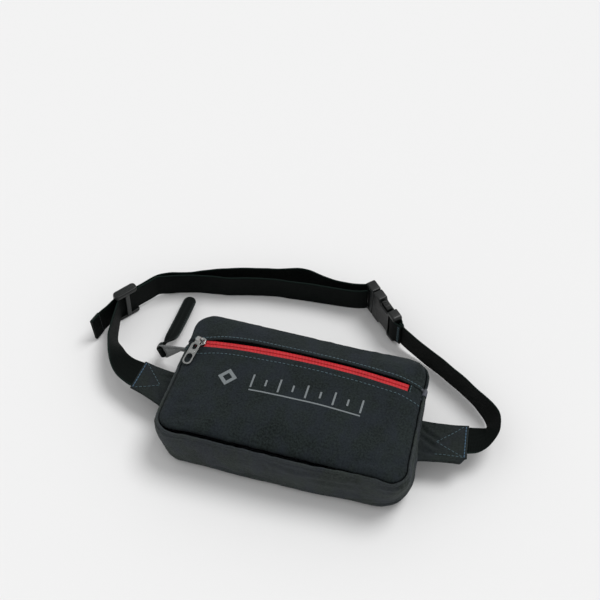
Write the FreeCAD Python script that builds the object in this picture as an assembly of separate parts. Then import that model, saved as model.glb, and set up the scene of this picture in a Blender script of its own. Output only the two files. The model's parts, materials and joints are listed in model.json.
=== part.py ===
"""Small hip bag with a webbing waist belt, lying on its back, in millimetres.

The origin is the centre of the bag's flat back face, on the surface that it lies on.
+X runs along the bag, +Y towards the zipped top edge and +Z out of the front face.
"""

import FreeCAD, Part
import math
import os

V = FreeCAD.Vector

# Bag body
BAG_LENGTH = 205.0
BAG_HEIGHT = 116.0
TAPER = 0.035                # how much shorter the top edge is than the middle
CORNER_RADIUS = 24.0
BACK_EDGE_RADIUS = 5.0
CROWN_X = 12.0               # place along the bag of the front face's highest line
CROWN_Z = 57.2
CROWN_RADIUS = 450.0         # curve of the front face along the bag
SHOULDER_RADIUS = 130.7      # curve of the front face towards the top and bottom edges
SHOULDER_Z = 61.9            # height that the shoulder curve would reach
SEAM_Z = 41.5                # seam between the gusset and the front
WALL = 2.0
BACK_THICKNESS = 1.6
FOAM_THICKNESS = 4.0
BINDING_WIDTH = 6.0
BINDING_THICKNESS = 0.9
REACH = 400.0                # longer than the bag, for cutting boxes

# Gusset joins, main zip and the flap that opens with it
JOIN_Y = 28.0                # where the top gusset meets the bottom gusset
GAP = 0.3                    # running gap between pieces that move apart
MAIN_ZIP_Z = 26.0
MAIN_ZIP_HALF = 3.5

# Front pocket zip
FRONT_ZIP_Y = 29.2
FRONT_ZIP_HALF = 4.0
FRONT_ZIP_LEFT = -97.3
FRONT_ZIP_RIGHT = 92.0
FLAP_Y = 33.8                # lower edge of the flap, clear of the pocket zip
POCKET_DEPTH = 6.0
POCKET_SHEET = 0.8
POCKET_TOP_Y = 24.0

# Zip sliders and pullers
SLIDER_LENGTH = 10.0
SLIDER_WIDTH = 8.0
SLIDER_HEIGHT = 2.8
BAIL_HALF = 3.8
BAIL_LEG = 1.4
BAIL_BAR = 1.4
EYE_Z = 5.6                  # height of the bail's bar above the zip
EYE_OUTER = 2.4
EYE_INNER = 1.5
EYE_HALF = 1.9
FRONT_SLIDER_X = -91.5
FRONT_PULLER_YAW = -14.0
FRONT_PULLER_DIP = 10.0
FRONT_PULLER_LENGTH = 24.5
FRONT_PULLER_WIDTH = 8.4
FRONT_PULLER_THICK = 1.3
MAIN_SLIDER_Y = 32.0
PULLER_PLATE = 1.4
PULLER_EYE_OUTER = 2.6
PULLER_EYE_INNER = 1.6
PULLER_BAR_LOW = (-127.0, 6.0)     # X and Z of the ends of the main puller's bar
PULLER_BAR_HIGH = (-133.0, 23.5)
PULLER_BAR_HALF = 1.0
PULLER_SLOT = 2.4
TAB_WIDTH = 11.5
TAB_THICK = 2.2

# Wings that join the bag to the belt
WING_Z = 22.0
WING_THICK = 3.0

# Belt webbing
WEB_WIDTH = 25.0
WEB_THICK = 1.4
FLOOR = 0.3                  # height of the belt's lower edge
GUIDE_X = -177.5             # middle of the strap slider
GUIDE_Y = 73.0
GUIDE_DIRECTION = (0.6, 0.8)
GUIDE_BASE = 3.3             # height of the webbing inside the strap slider
GUIDE_RUN = 33.0             # straight webbing that the strap slider can travel along
LAYER_OFFSET = 0.85          # each of the two layers from their shared middle
GUIDE_HALF = 11.0
GUIDE_DEPTH = 3.9
GUIDE_PLATE = 2.8
GUIDE_HEIGHT = 31.4
INNER_SPLIT = 8              # station where the inner layer's stiff run ends
HEM_END = 1                  # stations where the outer layer's hem, loose end and run end
TAIL_END = 3
OUTER_SPLIT = 12

# Side-release buckle, along its own axis from the male end
BUCKLE_START = (26.0, 143.5)
BUCKLE_ANGLE = -45.0
BUCKLE_HALF_WIDTH = 16.5
BUCKLE_Z = 16.7
BUCKLE_HALF_DEPTH = 4.4
MALE_LENGTH = 12.0
FEMALE_START = 12.4
WINDOW_START = 24.0
WINDOW_END = 36.0
BUCKLE_LENGTH = 48.0
WINDOW_HALF = 12.3
CAVITY_HALF = 14.0
CAVITY_DEPTH = 2.7
SLOT_HALF = 13.0
BAR_DEPTH = 2.6
MALE_BAR = 4.8
MALE_SLOT_END = 7.8
FEMALE_SLOT = (38.6, 42.6)
GUIDE_TONGUE = 30.0
PRONG_INNER = 9.5
PRONG_OUTER = 13.2
PRONG_HEAD = 16.2
PRONG_HEAD_START = 24.8
PRONG_END = 35.4
PRONG_DEPTH = 2.4


def box(x, y, z):
    """A box from three (low, high) pairs."""
    size = [high - low for low, high in (x, y, z)]
    return Part.makeBox(size[0], size[1], size[2], V(x[0], y[0], z[0]))


def plate(outline, low, high):
    """A flat outline of (x, y) points raised from one height to another."""
    points = [V(x, y, low) for x, y in outline]
    return Part.Face(Part.makePolygon(points + points[:1])).extrude(V(0, 0, high - low))


def upright_edges(shape):
    """The straight edges of a shape that run along Z."""
    edges = []
    for edge in shape.Edges:
        first, last = edge.Vertexes[0].Point, edge.Vertexes[-1].Point
        if math.hypot(first.x - last.x, first.y - last.y) < 1e-6:
            edges.append(edge)
    return edges


def rounded_box(x, y, z, radius):
    """A box whose edges along Z are rounded."""
    block = box(x, y, z)
    return block.makeFillet(radius, upright_edges(block))


def prism(grow, low, high):
    """The bag's tapered outline with rounded corners, grown by an offset and raised in Z."""
    half_length = BAG_LENGTH / 2 + grow
    half_height = BAG_HEIGHT / 2 + grow
    top = half_length * (1 - TAPER)
    bottom = half_length * (1 + TAPER)
    outline = [(-bottom, -half_height), (bottom, -half_height), (top, half_height), (-top, half_height)]
    block = plate(outline, low, high)
    return block.makeFillet(CORNER_RADIUS + grow, upright_edges(block))


def crown(depth):
    """Everything below the front face, lowered by a depth."""
    along_foot = V(CROWN_X, -REACH / 2, CROWN_Z - CROWN_RADIUS)
    across_foot = V(-REACH / 2, 0, SHOULDER_Z - SHOULDER_RADIUS)
    along = Part.makeCylinder(CROWN_RADIUS - depth, REACH, along_foot, V(0, 1, 0))
    across = Part.makeCylinder(SHOULDER_RADIUS - depth, REACH, across_foot, V(1, 0, 0))
    return along.common(across)


def outer_form():
    """The bag's outside with the back edge rounded."""
    block = prism(0, 0, CROWN_Z + WALL)
    rim = [edge for edge in block.Edges if max(v.Z for v in edge.Vertexes) < 1e-6]
    return block.makeFillet(BACK_EDGE_RADIUS, rim).common(crown(0))


def shell_form():
    """The bag's wall, closed all round."""
    inside = prism(-WALL, BACK_THICKNESS, CROWN_Z).common(crown(WALL))
    return outer_form().cut(inside)


def band(shell, z, y):
    """The part of the shell between two heights and two places along Y."""
    return shell.common(box((-REACH, REACH), y, z))


def bag_panels(shell):
    """The cloth pieces that the bag's wall is sewn from."""
    below = (-REACH, JOIN_Y)
    above = (JOIN_Y, REACH)
    flap = (JOIN_Y + GAP, REACH)
    chain_low = MAIN_ZIP_Z - MAIN_ZIP_HALF
    chain_high = MAIN_ZIP_Z + MAIN_ZIP_HALF
    face = band(shell, (SEAM_Z, REACH), (-REACH, REACH))
    zip_low = FRONT_ZIP_Y - FRONT_ZIP_HALF
    zip_high = FRONT_ZIP_Y + FRONT_ZIP_HALF
    front = (SEAM_Z, REACH)
    ends = (FRONT_ZIP_LEFT, FRONT_ZIP_RIGHT)
    zip_zone = box(ends, (zip_low, REACH), front)
    flap_zone = box((-REACH, REACH), flap, front)
    clear_zone = box((ends[0] - GAP, ends[1] + GAP), (zip_low, FLAP_Y), front)
    return {
        "back_panel": band(shell, (-1, BACK_THICKNESS), (-REACH, REACH)),
        "bottom_gusset": band(shell, (BACK_THICKNESS, SEAM_Z), below),
        "top_gusset_back": band(shell, (BACK_THICKNESS, chain_low), above),
        "main_zip_back_tape": band(shell, (chain_low, MAIN_ZIP_Z - GAP / 2), above),
        "main_zip_front_tape": band(shell, (MAIN_ZIP_Z + GAP / 2, chain_high), flap),
        "top_gusset_front": band(shell, (chain_high, SEAM_Z), flap),
        "front_lower_panel": face.common(box((-REACH, REACH), below, front)).cut(zip_zone),
        "front_upper_panel": face.common(flap_zone).cut(clear_zone),
        "front_zip_lower_tape": face.common(box(ends, (zip_low, FRONT_ZIP_Y), front)),
        "front_zip_upper_tape": face.common(box(ends, (FRONT_ZIP_Y, zip_high), front)),
    }


def pocket_divider():
    """The sheet behind the front pocket."""
    depth = POCKET_DEPTH
    under = crown(depth).cut(crown(depth + POCKET_SHEET))
    zone = box((-REACH, REACH), (-REACH, POCKET_TOP_Y), (SEAM_Z - 3 * depth, CROWN_Z))
    return prism(-WALL, BACK_THICKNESS, CROWN_Z).common(under).common(zone)


def back_foam():
    """Foam sheet that lies on the back panel, inside the bag."""
    return prism(-WALL, BACK_THICKNESS, BACK_THICKNESS + FOAM_THICKNESS)


def back_binding():
    """Tape that covers the seam round the back, inside the bag."""
    low = BACK_THICKNESS + FOAM_THICKNESS
    high = low + BINDING_WIDTH
    return prism(-WALL, low, high).cut(prism(-WALL - BINDING_THICKNESS, low - 1, high + 1))


def side_x(y):
    """Half of the bag's length at a place along Y."""
    return BAG_LENGTH / 2 * (1 - TAPER * y / (BAG_HEIGHT / 2))


def wing(outline):
    """A flat cloth wing with its free corners rounded a little."""
    block = plate(outline, WING_Z - WING_THICK / 2, WING_Z + WING_THICK / 2)
    middle = sum(abs(x) for x, y in outline) / len(outline)
    free = [edge for edge in upright_edges(block) if abs(edge.Vertexes[0].X) > middle]
    return block.makeFillet(1.5, free)


def left_wing():
    """The wing on the bag's left side."""
    return wing([(-side_x(8.5), 8.5), (-137.0, 13.0), (-140.5, -16.0), (-side_x(-30.0), -30.0)])


def right_wing():
    """The wing on the bag's right side, with its lower outer corner cut off."""
    return wing([(side_x(20.0), 20.0), (141.0, 26.0), (146.3, -6.0), (142.0, -11.5), (side_x(-20.0), -20.0)])


def slider_body():
    """A zip slider that runs along X over a zip at the origin, with its bail."""
    half = SLIDER_LENGTH / 2
    shoulder = SLIDER_WIDTH / 2
    outline = [
        (-half, -shoulder), (half - 2.5, -shoulder), (half, -shoulder + 1.6),
        (half, shoulder - 1.6), (half - 2.5, shoulder), (-half, shoulder),
    ]
    block = plate(outline, GAP, SLIDER_HEIGHT)
    block = block.makeFillet(0.8, upright_edges(block))
    top = EYE_Z + BAIL_BAR / 2
    arch = box((-BAIL_HALF, BAIL_HALF), (-BAIL_BAR / 2, BAIL_BAR / 2), (SLIDER_HEIGHT - 0.5, top))
    hole_half = BAIL_HALF - BAIL_LEG
    hole = box((-hole_half, hole_half), (-BAIL_BAR, BAIL_BAR), (SLIDER_HEIGHT, EYE_Z - BAIL_BAR / 2))
    return block.fuse(arch.cut(hole)).removeSplitter()


def front_puller_plate():
    """The pocket zip's puller, pointing along -Y from its eye at the origin."""
    eye = Part.makeCylinder(EYE_OUTER, 2 * EYE_HALF, V(-EYE_HALF, 0, 0), V(1, 0, 0))
    bore = Part.makeCylinder(EYE_INNER, 4 * EYE_HALF, V(-2 * EYE_HALF, 0, 0), V(1, 0, 0))
    half = FRONT_PULLER_WIDTH / 2
    thick = (-FRONT_PULLER_THICK / 2, FRONT_PULLER_THICK / 2)
    neck = box((-EYE_HALF, EYE_HALF), (-7.0, -EYE_INNER), thick)
    tag = rounded_box((-half, half), (-FRONT_PULLER_LENGTH, -5.5), thick, half - 0.4)
    rib = rounded_box((-1.6, 1.6), (-14.5, -4.0), (thick[0], thick[1] + 0.7), 0.8)
    window = rounded_box((-2.3, 2.3), (-FRONT_PULLER_LENGTH + 2.0, -15.5), (-2.0, 2.0), 2.2)
    return eye.fuse([neck, tag, rib]).cut(bore).cut(window).removeSplitter()


def on_crown(shape, x):
    """Turns a shape made at the origin to a place along the pocket zip."""
    shape.translate(V(CROWN_X, FRONT_ZIP_Y, CROWN_Z))
    turn = math.degrees(math.asin((x - CROWN_X) / CROWN_RADIUS))
    shape.rotate(V(CROWN_X, 0, CROWN_Z - CROWN_RADIUS), V(0, 1, 0), turn)
    return shape


def front_slider():
    """The pocket zip's slider at its closed end."""
    return on_crown(slider_body(), FRONT_SLIDER_X)


def front_puller():
    """The pocket zip's puller, lying on the front face."""
    shape = front_puller_plate()
    shape.rotate(V(0, 0, 0), V(1, 0, 0), FRONT_PULLER_DIP)
    shape.rotate(V(0, 0, 0), V(0, 0, 1), FRONT_PULLER_YAW)
    shape.translate(V(0, 0, EYE_Z))
    return on_crown(shape, FRONT_SLIDER_X)


def corner_arc_x():
    """The X of the middle of the bag's rounded top left corner."""
    slope = TAPER * BAG_LENGTH / BAG_HEIGHT
    middle_y = BAG_HEIGHT / 2 - CORNER_RADIUS
    return CORNER_RADIUS * math.hypot(1, slope) - side_x(middle_y)


def main_slider():
    """The main zip's slider on the bag's left side."""
    shape = slider_body()
    face = corner_arc_x() - CORNER_RADIUS - GAP
    columns = FreeCAD.Matrix(0, 0, -1, face, 1, 0, 0, MAIN_SLIDER_Y, 0, -1, 0, MAIN_ZIP_Z, 0, 0, 0, 1)
    return shape.transformGeometry(columns)


def bar_x(z):
    """The X of the middle of the main puller's sloping bar at a height."""
    low_x, low_z = PULLER_BAR_LOW
    high_x, high_z = PULLER_BAR_HIGH
    return low_x + (high_x - low_x) * (z - low_z) / (high_z - low_z)


def puller_plate(outline):
    """A flat plate of the main puller's thickness from (x, z) points."""
    points = [V(x, MAIN_SLIDER_Y - PULLER_PLATE / 2, z) for x, z in outline]
    return Part.Face(Part.makePolygon(points + points[:1])).extrude(V(0, PULLER_PLATE, 0))


def main_puller():
    """The main zip's flat metal puller, with a slot for the cloth tab."""
    eye_x = corner_arc_x() - CORNER_RADIUS - GAP - EYE_Z
    low = PULLER_BAR_LOW[1]
    high = PULLER_BAR_HIGH[1]
    body = puller_plate(
        [
            (eye_x, MAIN_ZIP_Z + PULLER_EYE_OUTER), (eye_x - 7.0, MAIN_ZIP_Z + 0.6),
            (bar_x(high) - PULLER_BAR_HALF, high), (bar_x(low) - PULLER_BAR_HALF, low),
            (bar_x(low) + 2.5, low), (eye_x - 7.0, MAIN_ZIP_Z - 6.0), (eye_x, MAIN_ZIP_Z - PULLER_EYE_OUTER),
        ]
    )
    near = PULLER_BAR_HALF
    far = PULLER_BAR_HALF + PULLER_SLOT
    bottom = low + 2.0
    top = high - 2.0
    slot = puller_plate(
        [
            (bar_x(bottom) + near, bottom), (bar_x(bottom) + far, bottom + 1.5),
            (bar_x(top) + far, top), (bar_x(top) + near, top),
        ]
    )
    back = MAIN_SLIDER_Y - PULLER_PLATE / 2
    eye = Part.makeCylinder(PULLER_EYE_OUTER, PULLER_PLATE, V(eye_x, back, MAIN_ZIP_Z), V(0, 1, 0))
    before = V(eye_x, back - PULLER_PLATE, MAIN_ZIP_Z)
    bore = Part.makeCylinder(PULLER_EYE_INNER, 3 * PULLER_PLATE, before, V(0, 1, 0))
    return body.fuse(eye).cut(bore).cut(slot).removeSplitter()


def ribbon(edges, thick, first=0, last=None):
    """A flat strip through pairs of edge points, or the stretch of it between two of them."""
    lows = [V(*low) for low, high in edges]
    highs = [V(*high) for low, high in edges]
    middles = [(low + high) * 0.5 for low, high in zip(lows, highs)]
    sections = []
    for i, (low, high) in enumerate(zip(lows, highs)):
        travel = middles[min(i + 1, len(edges) - 1)] - middles[max(i - 1, 0)]
        side = (high - low).cross(travel).normalize() * (thick / 2)
        corners = [low - side, high - side, high + side, low + side]
        sections.append(Part.makePolygon(corners + corners[:1]))
    stop = len(edges) if last is None else last + 1
    return Part.makeLoft(sections[first:stop], True, True)


def upright(points):
    """Pairs of edge points for webbing that stands on its edge through (x, y, base) points."""
    return [((x, y, base), (x, y, base + WEB_WIDTH)) for x, y, base in points]


def pull_tab():
    """The folded cloth tab: a loop round the puller's bar, and a tongue that turns flat."""
    y = MAIN_SLIDER_Y
    ply = 0.8
    half = 2.2
    reach = TAB_WIDTH / 2
    outer = rounded_box((-half, half), (-2.6, 4.0), (-reach, reach), 1.2)
    inner = rounded_box((ply - half, half - ply), (-1.7, 2.4), (-reach - 1, reach + 1), 0.7)
    loop = outer.cut(inner)
    slope = math.atan2(PULLER_BAR_HIGH[0] - PULLER_BAR_LOW[0], PULLER_BAR_HIGH[1] - PULLER_BAR_LOW[1])
    loop.rotate(V(0, 0, 0), V(0, 1, 0), math.degrees(slope))
    middle_z = (PULLER_BAR_LOW[1] + PULLER_BAR_HIGH[1]) / 2
    loop.translate(V(bar_x(middle_z), y, middle_z))
    rise = reach * math.cos(slope)
    low = middle_z - rise
    high = middle_z + rise
    tongue = ribbon(
        [
            ((bar_x(low), y + 3.4, low), (bar_x(high), y + 3.4, high)),
            ((-131.5, 41.0, low + 1.6), (-127.2, 41.0, high - 1.6)),
            ((-133.1, 49.0, 11.5), (-122.2, 49.0, 14.6)),
            ((-132.9, 58.0, 11.3), (-121.4, 58.0, 11.3)),
            ((-132.7, 94.0, 7.4), (-121.2, 94.0, 7.4)),
            ((-131.4, 98.0, 7.0), (-122.5, 98.0, 7.0)),
            ((-129.0, 100.0, 6.8), (-124.9, 100.0, 6.8)),
        ],
        TAB_THICK,
    )
    return loop.fuse(tongue).removeSplitter()


def guide_point(along, out):
    """A point in plan, measured along the strap slider's straight webbing and out from it."""
    dx, dy = GUIDE_DIRECTION
    return GUIDE_X + dx * along - dy * out, GUIDE_Y + dy * along + dx * out


def guide_station(along, out, base=GUIDE_BASE):
    """A webbing station on that straight stretch."""
    return (*guide_point(along, out), base)


def left_strap():
    """Webbing from the left wing, turning on its edge on the way to the strap slider."""
    edges = [
        ((-137.9, 11.0, WING_Z), (-140.9, -13.8, WING_Z)),
        ((-150.5, 16.5, 16.0), (-156.2, -7.0, 22.0)),
        ((-165.0, 30.0, 8.0), (-170.0, 11.0, 24.0)),
        ((-175.5, 41.0, 1.5), (-178.0, 28.5, 23.0)),
        ((-178.5, 51.0, 1.8), (-179.8, 49.0, 26.6)),
    ]
    edges += upright([(-180.8, 61.5, GUIDE_BASE), guide_station(-6.0, -LAYER_OFFSET)])
    edges += upright([guide_station(0, -LAYER_OFFSET)])
    return ribbon(edges, WEB_THICK)


def inner_layer():
    """Edge points of the layer of webbing nearer the bag, from the strap slider to the buckle."""
    return upright(
        [
            guide_station(0, -LAYER_OFFSET), guide_station(GUIDE_RUN, -LAYER_OFFSET),
            (-149.0, 103.5, 1.6), (-139.0, 108.2, FLOOR), (-120.0, 113.5, FLOOR),
            (-98.0, 117.5, FLOOR), (-77.0, 123.0, FLOOR), (-57.0, 128.0, FLOOR),
            (-40.0, 130.0, FLOOR), (-20.0, 131.5, FLOOR), (0.0, 132.7, 1.0),
            (12.0, 132.9, 2.4), (20.0, 133.5, 3.6), (25.6, 135.1, 4.2),
        ]
    )


def outer_layer():
    """Edge points of the layer further from the bag, from its loose end to the buckle."""
    edges = [
        ((-194.0, 38.0, 0.6), (-196.4, 38.0, 25.4)),
        ((-191.4, 48.0, 1.0), (-193.4, 48.0, 25.9)),
        ((-187.6, 57.0, 2.0), (-188.6, 57.0, 27.0)),
    ]
    return edges + upright(
        [
            guide_station(-10.0, LAYER_OFFSET), guide_station(GUIDE_RUN, LAYER_OFFSET),
            (-149.5, 107.2, 1.6), (-137.5, 112.4, FLOOR), (-120.0, 119.5, FLOOR), (-101.0, 127.0, FLOOR),
            (-80.0, 133.5, FLOOR), (-59.0, 139.0, FLOOR), (-45.0, 143.8, FLOOR), (-34.0, 145.5, FLOOR),
            (-25.0, 145.2, FLOOR), (-14.0, 142.8, 0.6), (-3.0, 140.8, 1.2),
            (8.0, 139.9, 2.4), (16.0, 140.2, 3.6), (22.2, 141.3, 4.2),
        ]
    )


def belt_layers():
    """The belt's two layers and its loose end, each cut into pieces at stated stations."""
    inner, outer = inner_layer(), outer_layer()
    return {
        "belt_inner_run": ribbon(inner, WEB_THICK, 0, INNER_SPLIT),
        "belt_inner_end": ribbon(inner, WEB_THICK, INNER_SPLIT),
        "tail_hem": ribbon(outer, 2 * WEB_THICK, 0, HEM_END),
        "belt_tail": ribbon(outer, WEB_THICK, HEM_END, TAIL_END),
        "belt_outer_run": ribbon(outer, WEB_THICK, TAIL_END, OUTER_SPLIT),
        "belt_outer_end": ribbon(outer, WEB_THICK, OUTER_SPLIT),
    }


def buckle_point(along, out):
    """A point in plan, measured along the buckle from its male end and out from its middle."""
    angle = math.radians(BUCKLE_ANGLE)
    x = BUCKLE_START[0] + along * math.cos(angle) - out * math.sin(angle)
    y = BUCKLE_START[1] + along * math.sin(angle) + out * math.cos(angle)
    return x, y


def right_strap():
    """Webbing from the buckle's fixed loop to the right wing, where it turns flat."""
    x, y = buckle_point(54.8, 0.3)
    low = BUCKLE_Z - WEB_WIDTH / 2
    stations = [(x, y, low), (74.0, 100.4, 2.6), (84.0, 95.6, 1.0)]
    stations += [(100.0, 87.0, FLOOR), (116.0, 77.5, FLOOR), (132.0, 67.3, FLOOR)]
    edges = [((px, py, base), (px, py, base + WEB_WIDTH)) for px, py, base in stations]
    edges += [
        ((142.0, 59.0, 0.5), (143.0, 59.8, 25.4)),
        ((150.0, 50.5, 0.6), (153.5, 53.0, 25.2)),
        ((154.2, 42.5, 2.0), (163.0, 42.5, 25.4)),
        ((153.0, 34.5, 10.0), (166.3, 23.5, 26.0)),
        ((149.0, 28.6, 18.0), (160.5, 7.5, 24.8)),
        ((143.7, 24.4, WING_Z), (149.2, 0.0, WING_Z)),
    ]
    return ribbon(edges, WEB_THICK)


def on_buckle(shape):
    """Moves a shape from the buckle's own frame, along X and out along Y, into place."""
    shape.rotate(V(0, 0, 0), V(0, 0, 1), BUCKLE_ANGLE)
    shape.translate(V(BUCKLE_START[0], BUCKLE_START[1], BUCKLE_Z))
    return shape


def right_loop():
    """Webbing folded round the female half's bar and tacked to itself."""
    half = WEB_WIDTH / 2
    tack = BUCKLE_LENGTH + 6.6
    outside = [(tack, -1.4), (46.5, -4.2), (39.4, -4.2), (39.4, 4.2), (47.6, 4.2), (tack, 1.9)]
    inside = [(tack - 4.5, 0.2), (47.9, -2.9), (40.8, -2.9), (40.8, 2.9), (47.9, 2.9)]
    loop = plate(outside, -half, half)
    loop = loop.makeFillet(1.2, upright_edges(loop))
    return on_buckle(loop.cut(plate(inside, -half - 1, half + 1)))


def strap_bight():
    """Webbing turned round the male half's bar."""
    half = WEB_WIDTH / 2
    low, high = -BAR_DEPTH - 1.9, BAR_DEPTH + 1.6
    outline = [
        (5.3, low), (6.7, low), (6.7, high), (-1.7, high), (-1.7, -3.0), (-0.4, -3.0), (-0.4, high - 1.3),
        (5.3, high - 1.3),
    ]
    return on_buckle(plate(outline, -half, half))


def across_bar(start, end):
    """Two boxes that thin a buckle's webbing bar on both faces."""
    near = box((start, end), (-9.0, -BAR_DEPTH), (-SLOT_HALF, SLOT_HALF))
    far = box((start, end), (BAR_DEPTH, 9.0), (-SLOT_HALF, SLOT_HALF))
    return near.fuse(far)


def buckle_female():
    """The socket half, with a mouth, two side windows and a webbing bar."""
    depth = (-BUCKLE_HALF_DEPTH, BUCKLE_HALF_DEPTH)
    wide = (-BUCKLE_HALF_WIDTH, BUCKLE_HALF_WIDTH)
    mouth = rounded_box((FEMALE_START, WINDOW_START), depth, wide, 1.2)
    middle = box((WINDOW_START - 2, WINDOW_END + 2), depth, (-WINDOW_HALF, WINDOW_HALF))
    end = rounded_box((WINDOW_END, BUCKLE_LENGTH), depth, wide, 2.4)
    cavity = box(
        (FEMALE_START - 1, WINDOW_END - 0.3), (-CAVITY_DEPTH, CAVITY_DEPTH), (-CAVITY_HALF, CAVITY_HALF)
    )
    window = box(
        (WINDOW_START, WINDOW_END), (-CAVITY_DEPTH, CAVITY_DEPTH), (-BUCKLE_HALF_WIDTH, BUCKLE_HALF_WIDTH)
    )
    slot = box(FEMALE_SLOT, (-9.0, 9.0), (-SLOT_HALF, SLOT_HALF))
    shape = mouth.fuse([middle, end]).cut(cavity).cut(window).cut(slot)
    return on_buckle(shape.cut(across_bar(FEMALE_SLOT[1], BUCKLE_LENGTH + 2)).removeSplitter())


def buckle_male():
    """The plug half's base, with its webbing bar and centre tongue."""
    depth = (-BUCKLE_HALF_DEPTH + 0.2, BUCKLE_HALF_DEPTH - 0.2)
    base = rounded_box((0, MALE_LENGTH), depth, (-BUCKLE_HALF_WIDTH, BUCKLE_HALF_WIDTH), 2.0)
    slot = box((MALE_BAR, MALE_SLOT_END), (-9.0, 9.0), (-SLOT_HALF, SLOT_HALF))
    tongue = rounded_box((MALE_LENGTH - 1, GUIDE_TONGUE), (-1.3, 1.3), (-3.5, 3.5), 1.0)
    shape = base.cut(slot).cut(across_bar(-2.0, MALE_BAR)).fuse(tongue)
    return on_buckle(shape.removeSplitter())


def prong(side):
    """One spring arm of the plug half, with the button that shows in the female half's window."""
    outline = [
        (FEMALE_START, PRONG_INNER), (PRONG_END, PRONG_INNER), (PRONG_END, PRONG_HEAD - 2.6),
        (PRONG_END - 3.4, PRONG_HEAD), (PRONG_HEAD_START, PRONG_HEAD), (PRONG_HEAD_START, PRONG_OUTER),
        (FEMALE_START, PRONG_OUTER),
    ]
    points = [V(along, -PRONG_DEPTH, side * across) for along, across in outline]
    shape = Part.Face(Part.makePolygon(points + points[:1])).extrude(V(0, 2 * PRONG_DEPTH, 0))
    return on_buckle(shape)


def strap_slider():
    """The three-bar slider: two outer bars outside the webbing and a middle bar inside it."""
    half, depth = GUIDE_HALF, GUIDE_DEPTH
    gap = 2 * WEB_THICK + 1.0
    bar = (gap / 2, depth)
    full = (0.2 + GUIDE_PLATE - 0.5, GUIDE_HEIGHT - GUIDE_PLATE + 0.5)
    shape = rounded_box((-half, half), (-depth, depth), (0.2, 0.2 + GUIDE_PLATE), 3.0)
    pieces = [rounded_box((-half, half), (-depth, depth), (GUIDE_HEIGHT - GUIDE_PLATE, GUIDE_HEIGHT), 3.0)]
    for start in (-half + 0.6, half - 4.1):
        pieces.append(rounded_box((start, start + 3.5), bar, full, 0.8))
    pieces.append(rounded_box((-2.0, 2.0), (-depth, -gap / 2), full, 0.8))
    shape = shape.fuse(pieces).removeSplitter()
    shape.rotate(V(0, 0, 0), V(0, 0, 1), math.degrees(math.atan2(GUIDE_DIRECTION[1], GUIDE_DIRECTION[0])))
    shape.translate(V(GUIDE_X, GUIDE_Y, 0))
    return shape


def front_zip_stop():
    """The metal clip that ends the pocket zip."""
    shape = rounded_box((0, 1.8), (-2.4, 2.4), (0.0, 1.2), 0.5)
    return on_crown(shape, FRONT_ZIP_RIGHT - 3.0).cut(outer_form())


def main():
    """Writes one STEP file for each piece."""
    pieces = bag_panels(shell_form())
    pieces.update(
        {
            "pocket_divider": pocket_divider(), "back_foam": back_foam(), "back_binding": back_binding(),
            "left_wing": left_wing(), "right_wing": right_wing(), "front_zip_stop": front_zip_stop(),
            "front_zip_slider": front_slider(), "front_puller": front_puller(),
            "main_zip_slider": main_slider(), "main_puller": main_puller(), "pull_tab": pull_tab(),
            "left_strap": left_strap(), "strap_slider": strap_slider(),
            "buckle_male": buckle_male(), "strap_bight": strap_bight(), "upper_prong": prong(1),
            "lower_prong": prong(-1), "buckle_female": buckle_female(), "right_loop": right_loop(),
            "right_strap": right_strap(),
        }
    )
    pieces.update(belt_layers())
    os.makedirs("parts", exist_ok=True)
    for name, shape in pieces.items():
        shape.exportStep(os.path.join("parts", name + ".step"))
        print(name, len(shape.Solids), shape.isValid(), round(shape.Volume, 1))


main()
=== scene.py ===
"""Looks for a small hip bag with a webbing waist belt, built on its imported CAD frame."""

import json
import math

import bmesh
import bpy
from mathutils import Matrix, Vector, noise
from mathutils.bvhtree import BVHTree
from mathutils.kdtree import KDTree

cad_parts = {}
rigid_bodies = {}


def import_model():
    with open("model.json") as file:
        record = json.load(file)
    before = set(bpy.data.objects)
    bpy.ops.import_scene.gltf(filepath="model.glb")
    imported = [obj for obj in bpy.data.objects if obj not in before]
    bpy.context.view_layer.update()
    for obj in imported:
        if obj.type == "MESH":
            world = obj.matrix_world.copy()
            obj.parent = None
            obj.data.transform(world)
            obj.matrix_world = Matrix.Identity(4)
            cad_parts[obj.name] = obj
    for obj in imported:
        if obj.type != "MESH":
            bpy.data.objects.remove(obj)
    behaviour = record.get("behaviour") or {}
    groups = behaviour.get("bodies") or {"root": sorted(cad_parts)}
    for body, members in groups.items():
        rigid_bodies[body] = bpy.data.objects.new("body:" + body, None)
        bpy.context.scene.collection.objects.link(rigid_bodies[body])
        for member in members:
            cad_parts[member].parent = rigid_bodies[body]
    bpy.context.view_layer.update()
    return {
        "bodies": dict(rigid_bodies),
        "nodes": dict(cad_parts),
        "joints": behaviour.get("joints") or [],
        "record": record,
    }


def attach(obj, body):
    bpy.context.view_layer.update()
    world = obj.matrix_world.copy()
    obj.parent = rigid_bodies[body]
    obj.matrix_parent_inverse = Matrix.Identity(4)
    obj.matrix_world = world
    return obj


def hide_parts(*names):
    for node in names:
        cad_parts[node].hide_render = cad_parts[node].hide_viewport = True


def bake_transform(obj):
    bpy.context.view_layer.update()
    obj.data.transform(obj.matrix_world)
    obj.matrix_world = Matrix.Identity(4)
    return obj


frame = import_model()

MM = 0.001
TAU = 2 * math.pi

# Bag body, in millimetres, as in the CAD
HALF_LENGTH = 102.5
HALF_HEIGHT = 58.0
TAPER = 0.035
CORNER = 24.0
CROWN_X = 12.0
CROWN_Z = 57.2
CROWN_RADIUS = 450.0
SHOULDER_Z = 61.9
SHOULDER_RADIUS = 130.7
JOIN_Y = 28.0
ZIP_Y = 29.2
MAIN_ZIP_Z = 26.0
MAIN_SLIDER_Y = 32.0
SLIDER_X = -91.5
WING_Z = 22.0
WEB_WIDTH = 25.0
WEB_THICK = 1.4


# ---------------------------------------------------------------- small maths

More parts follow.
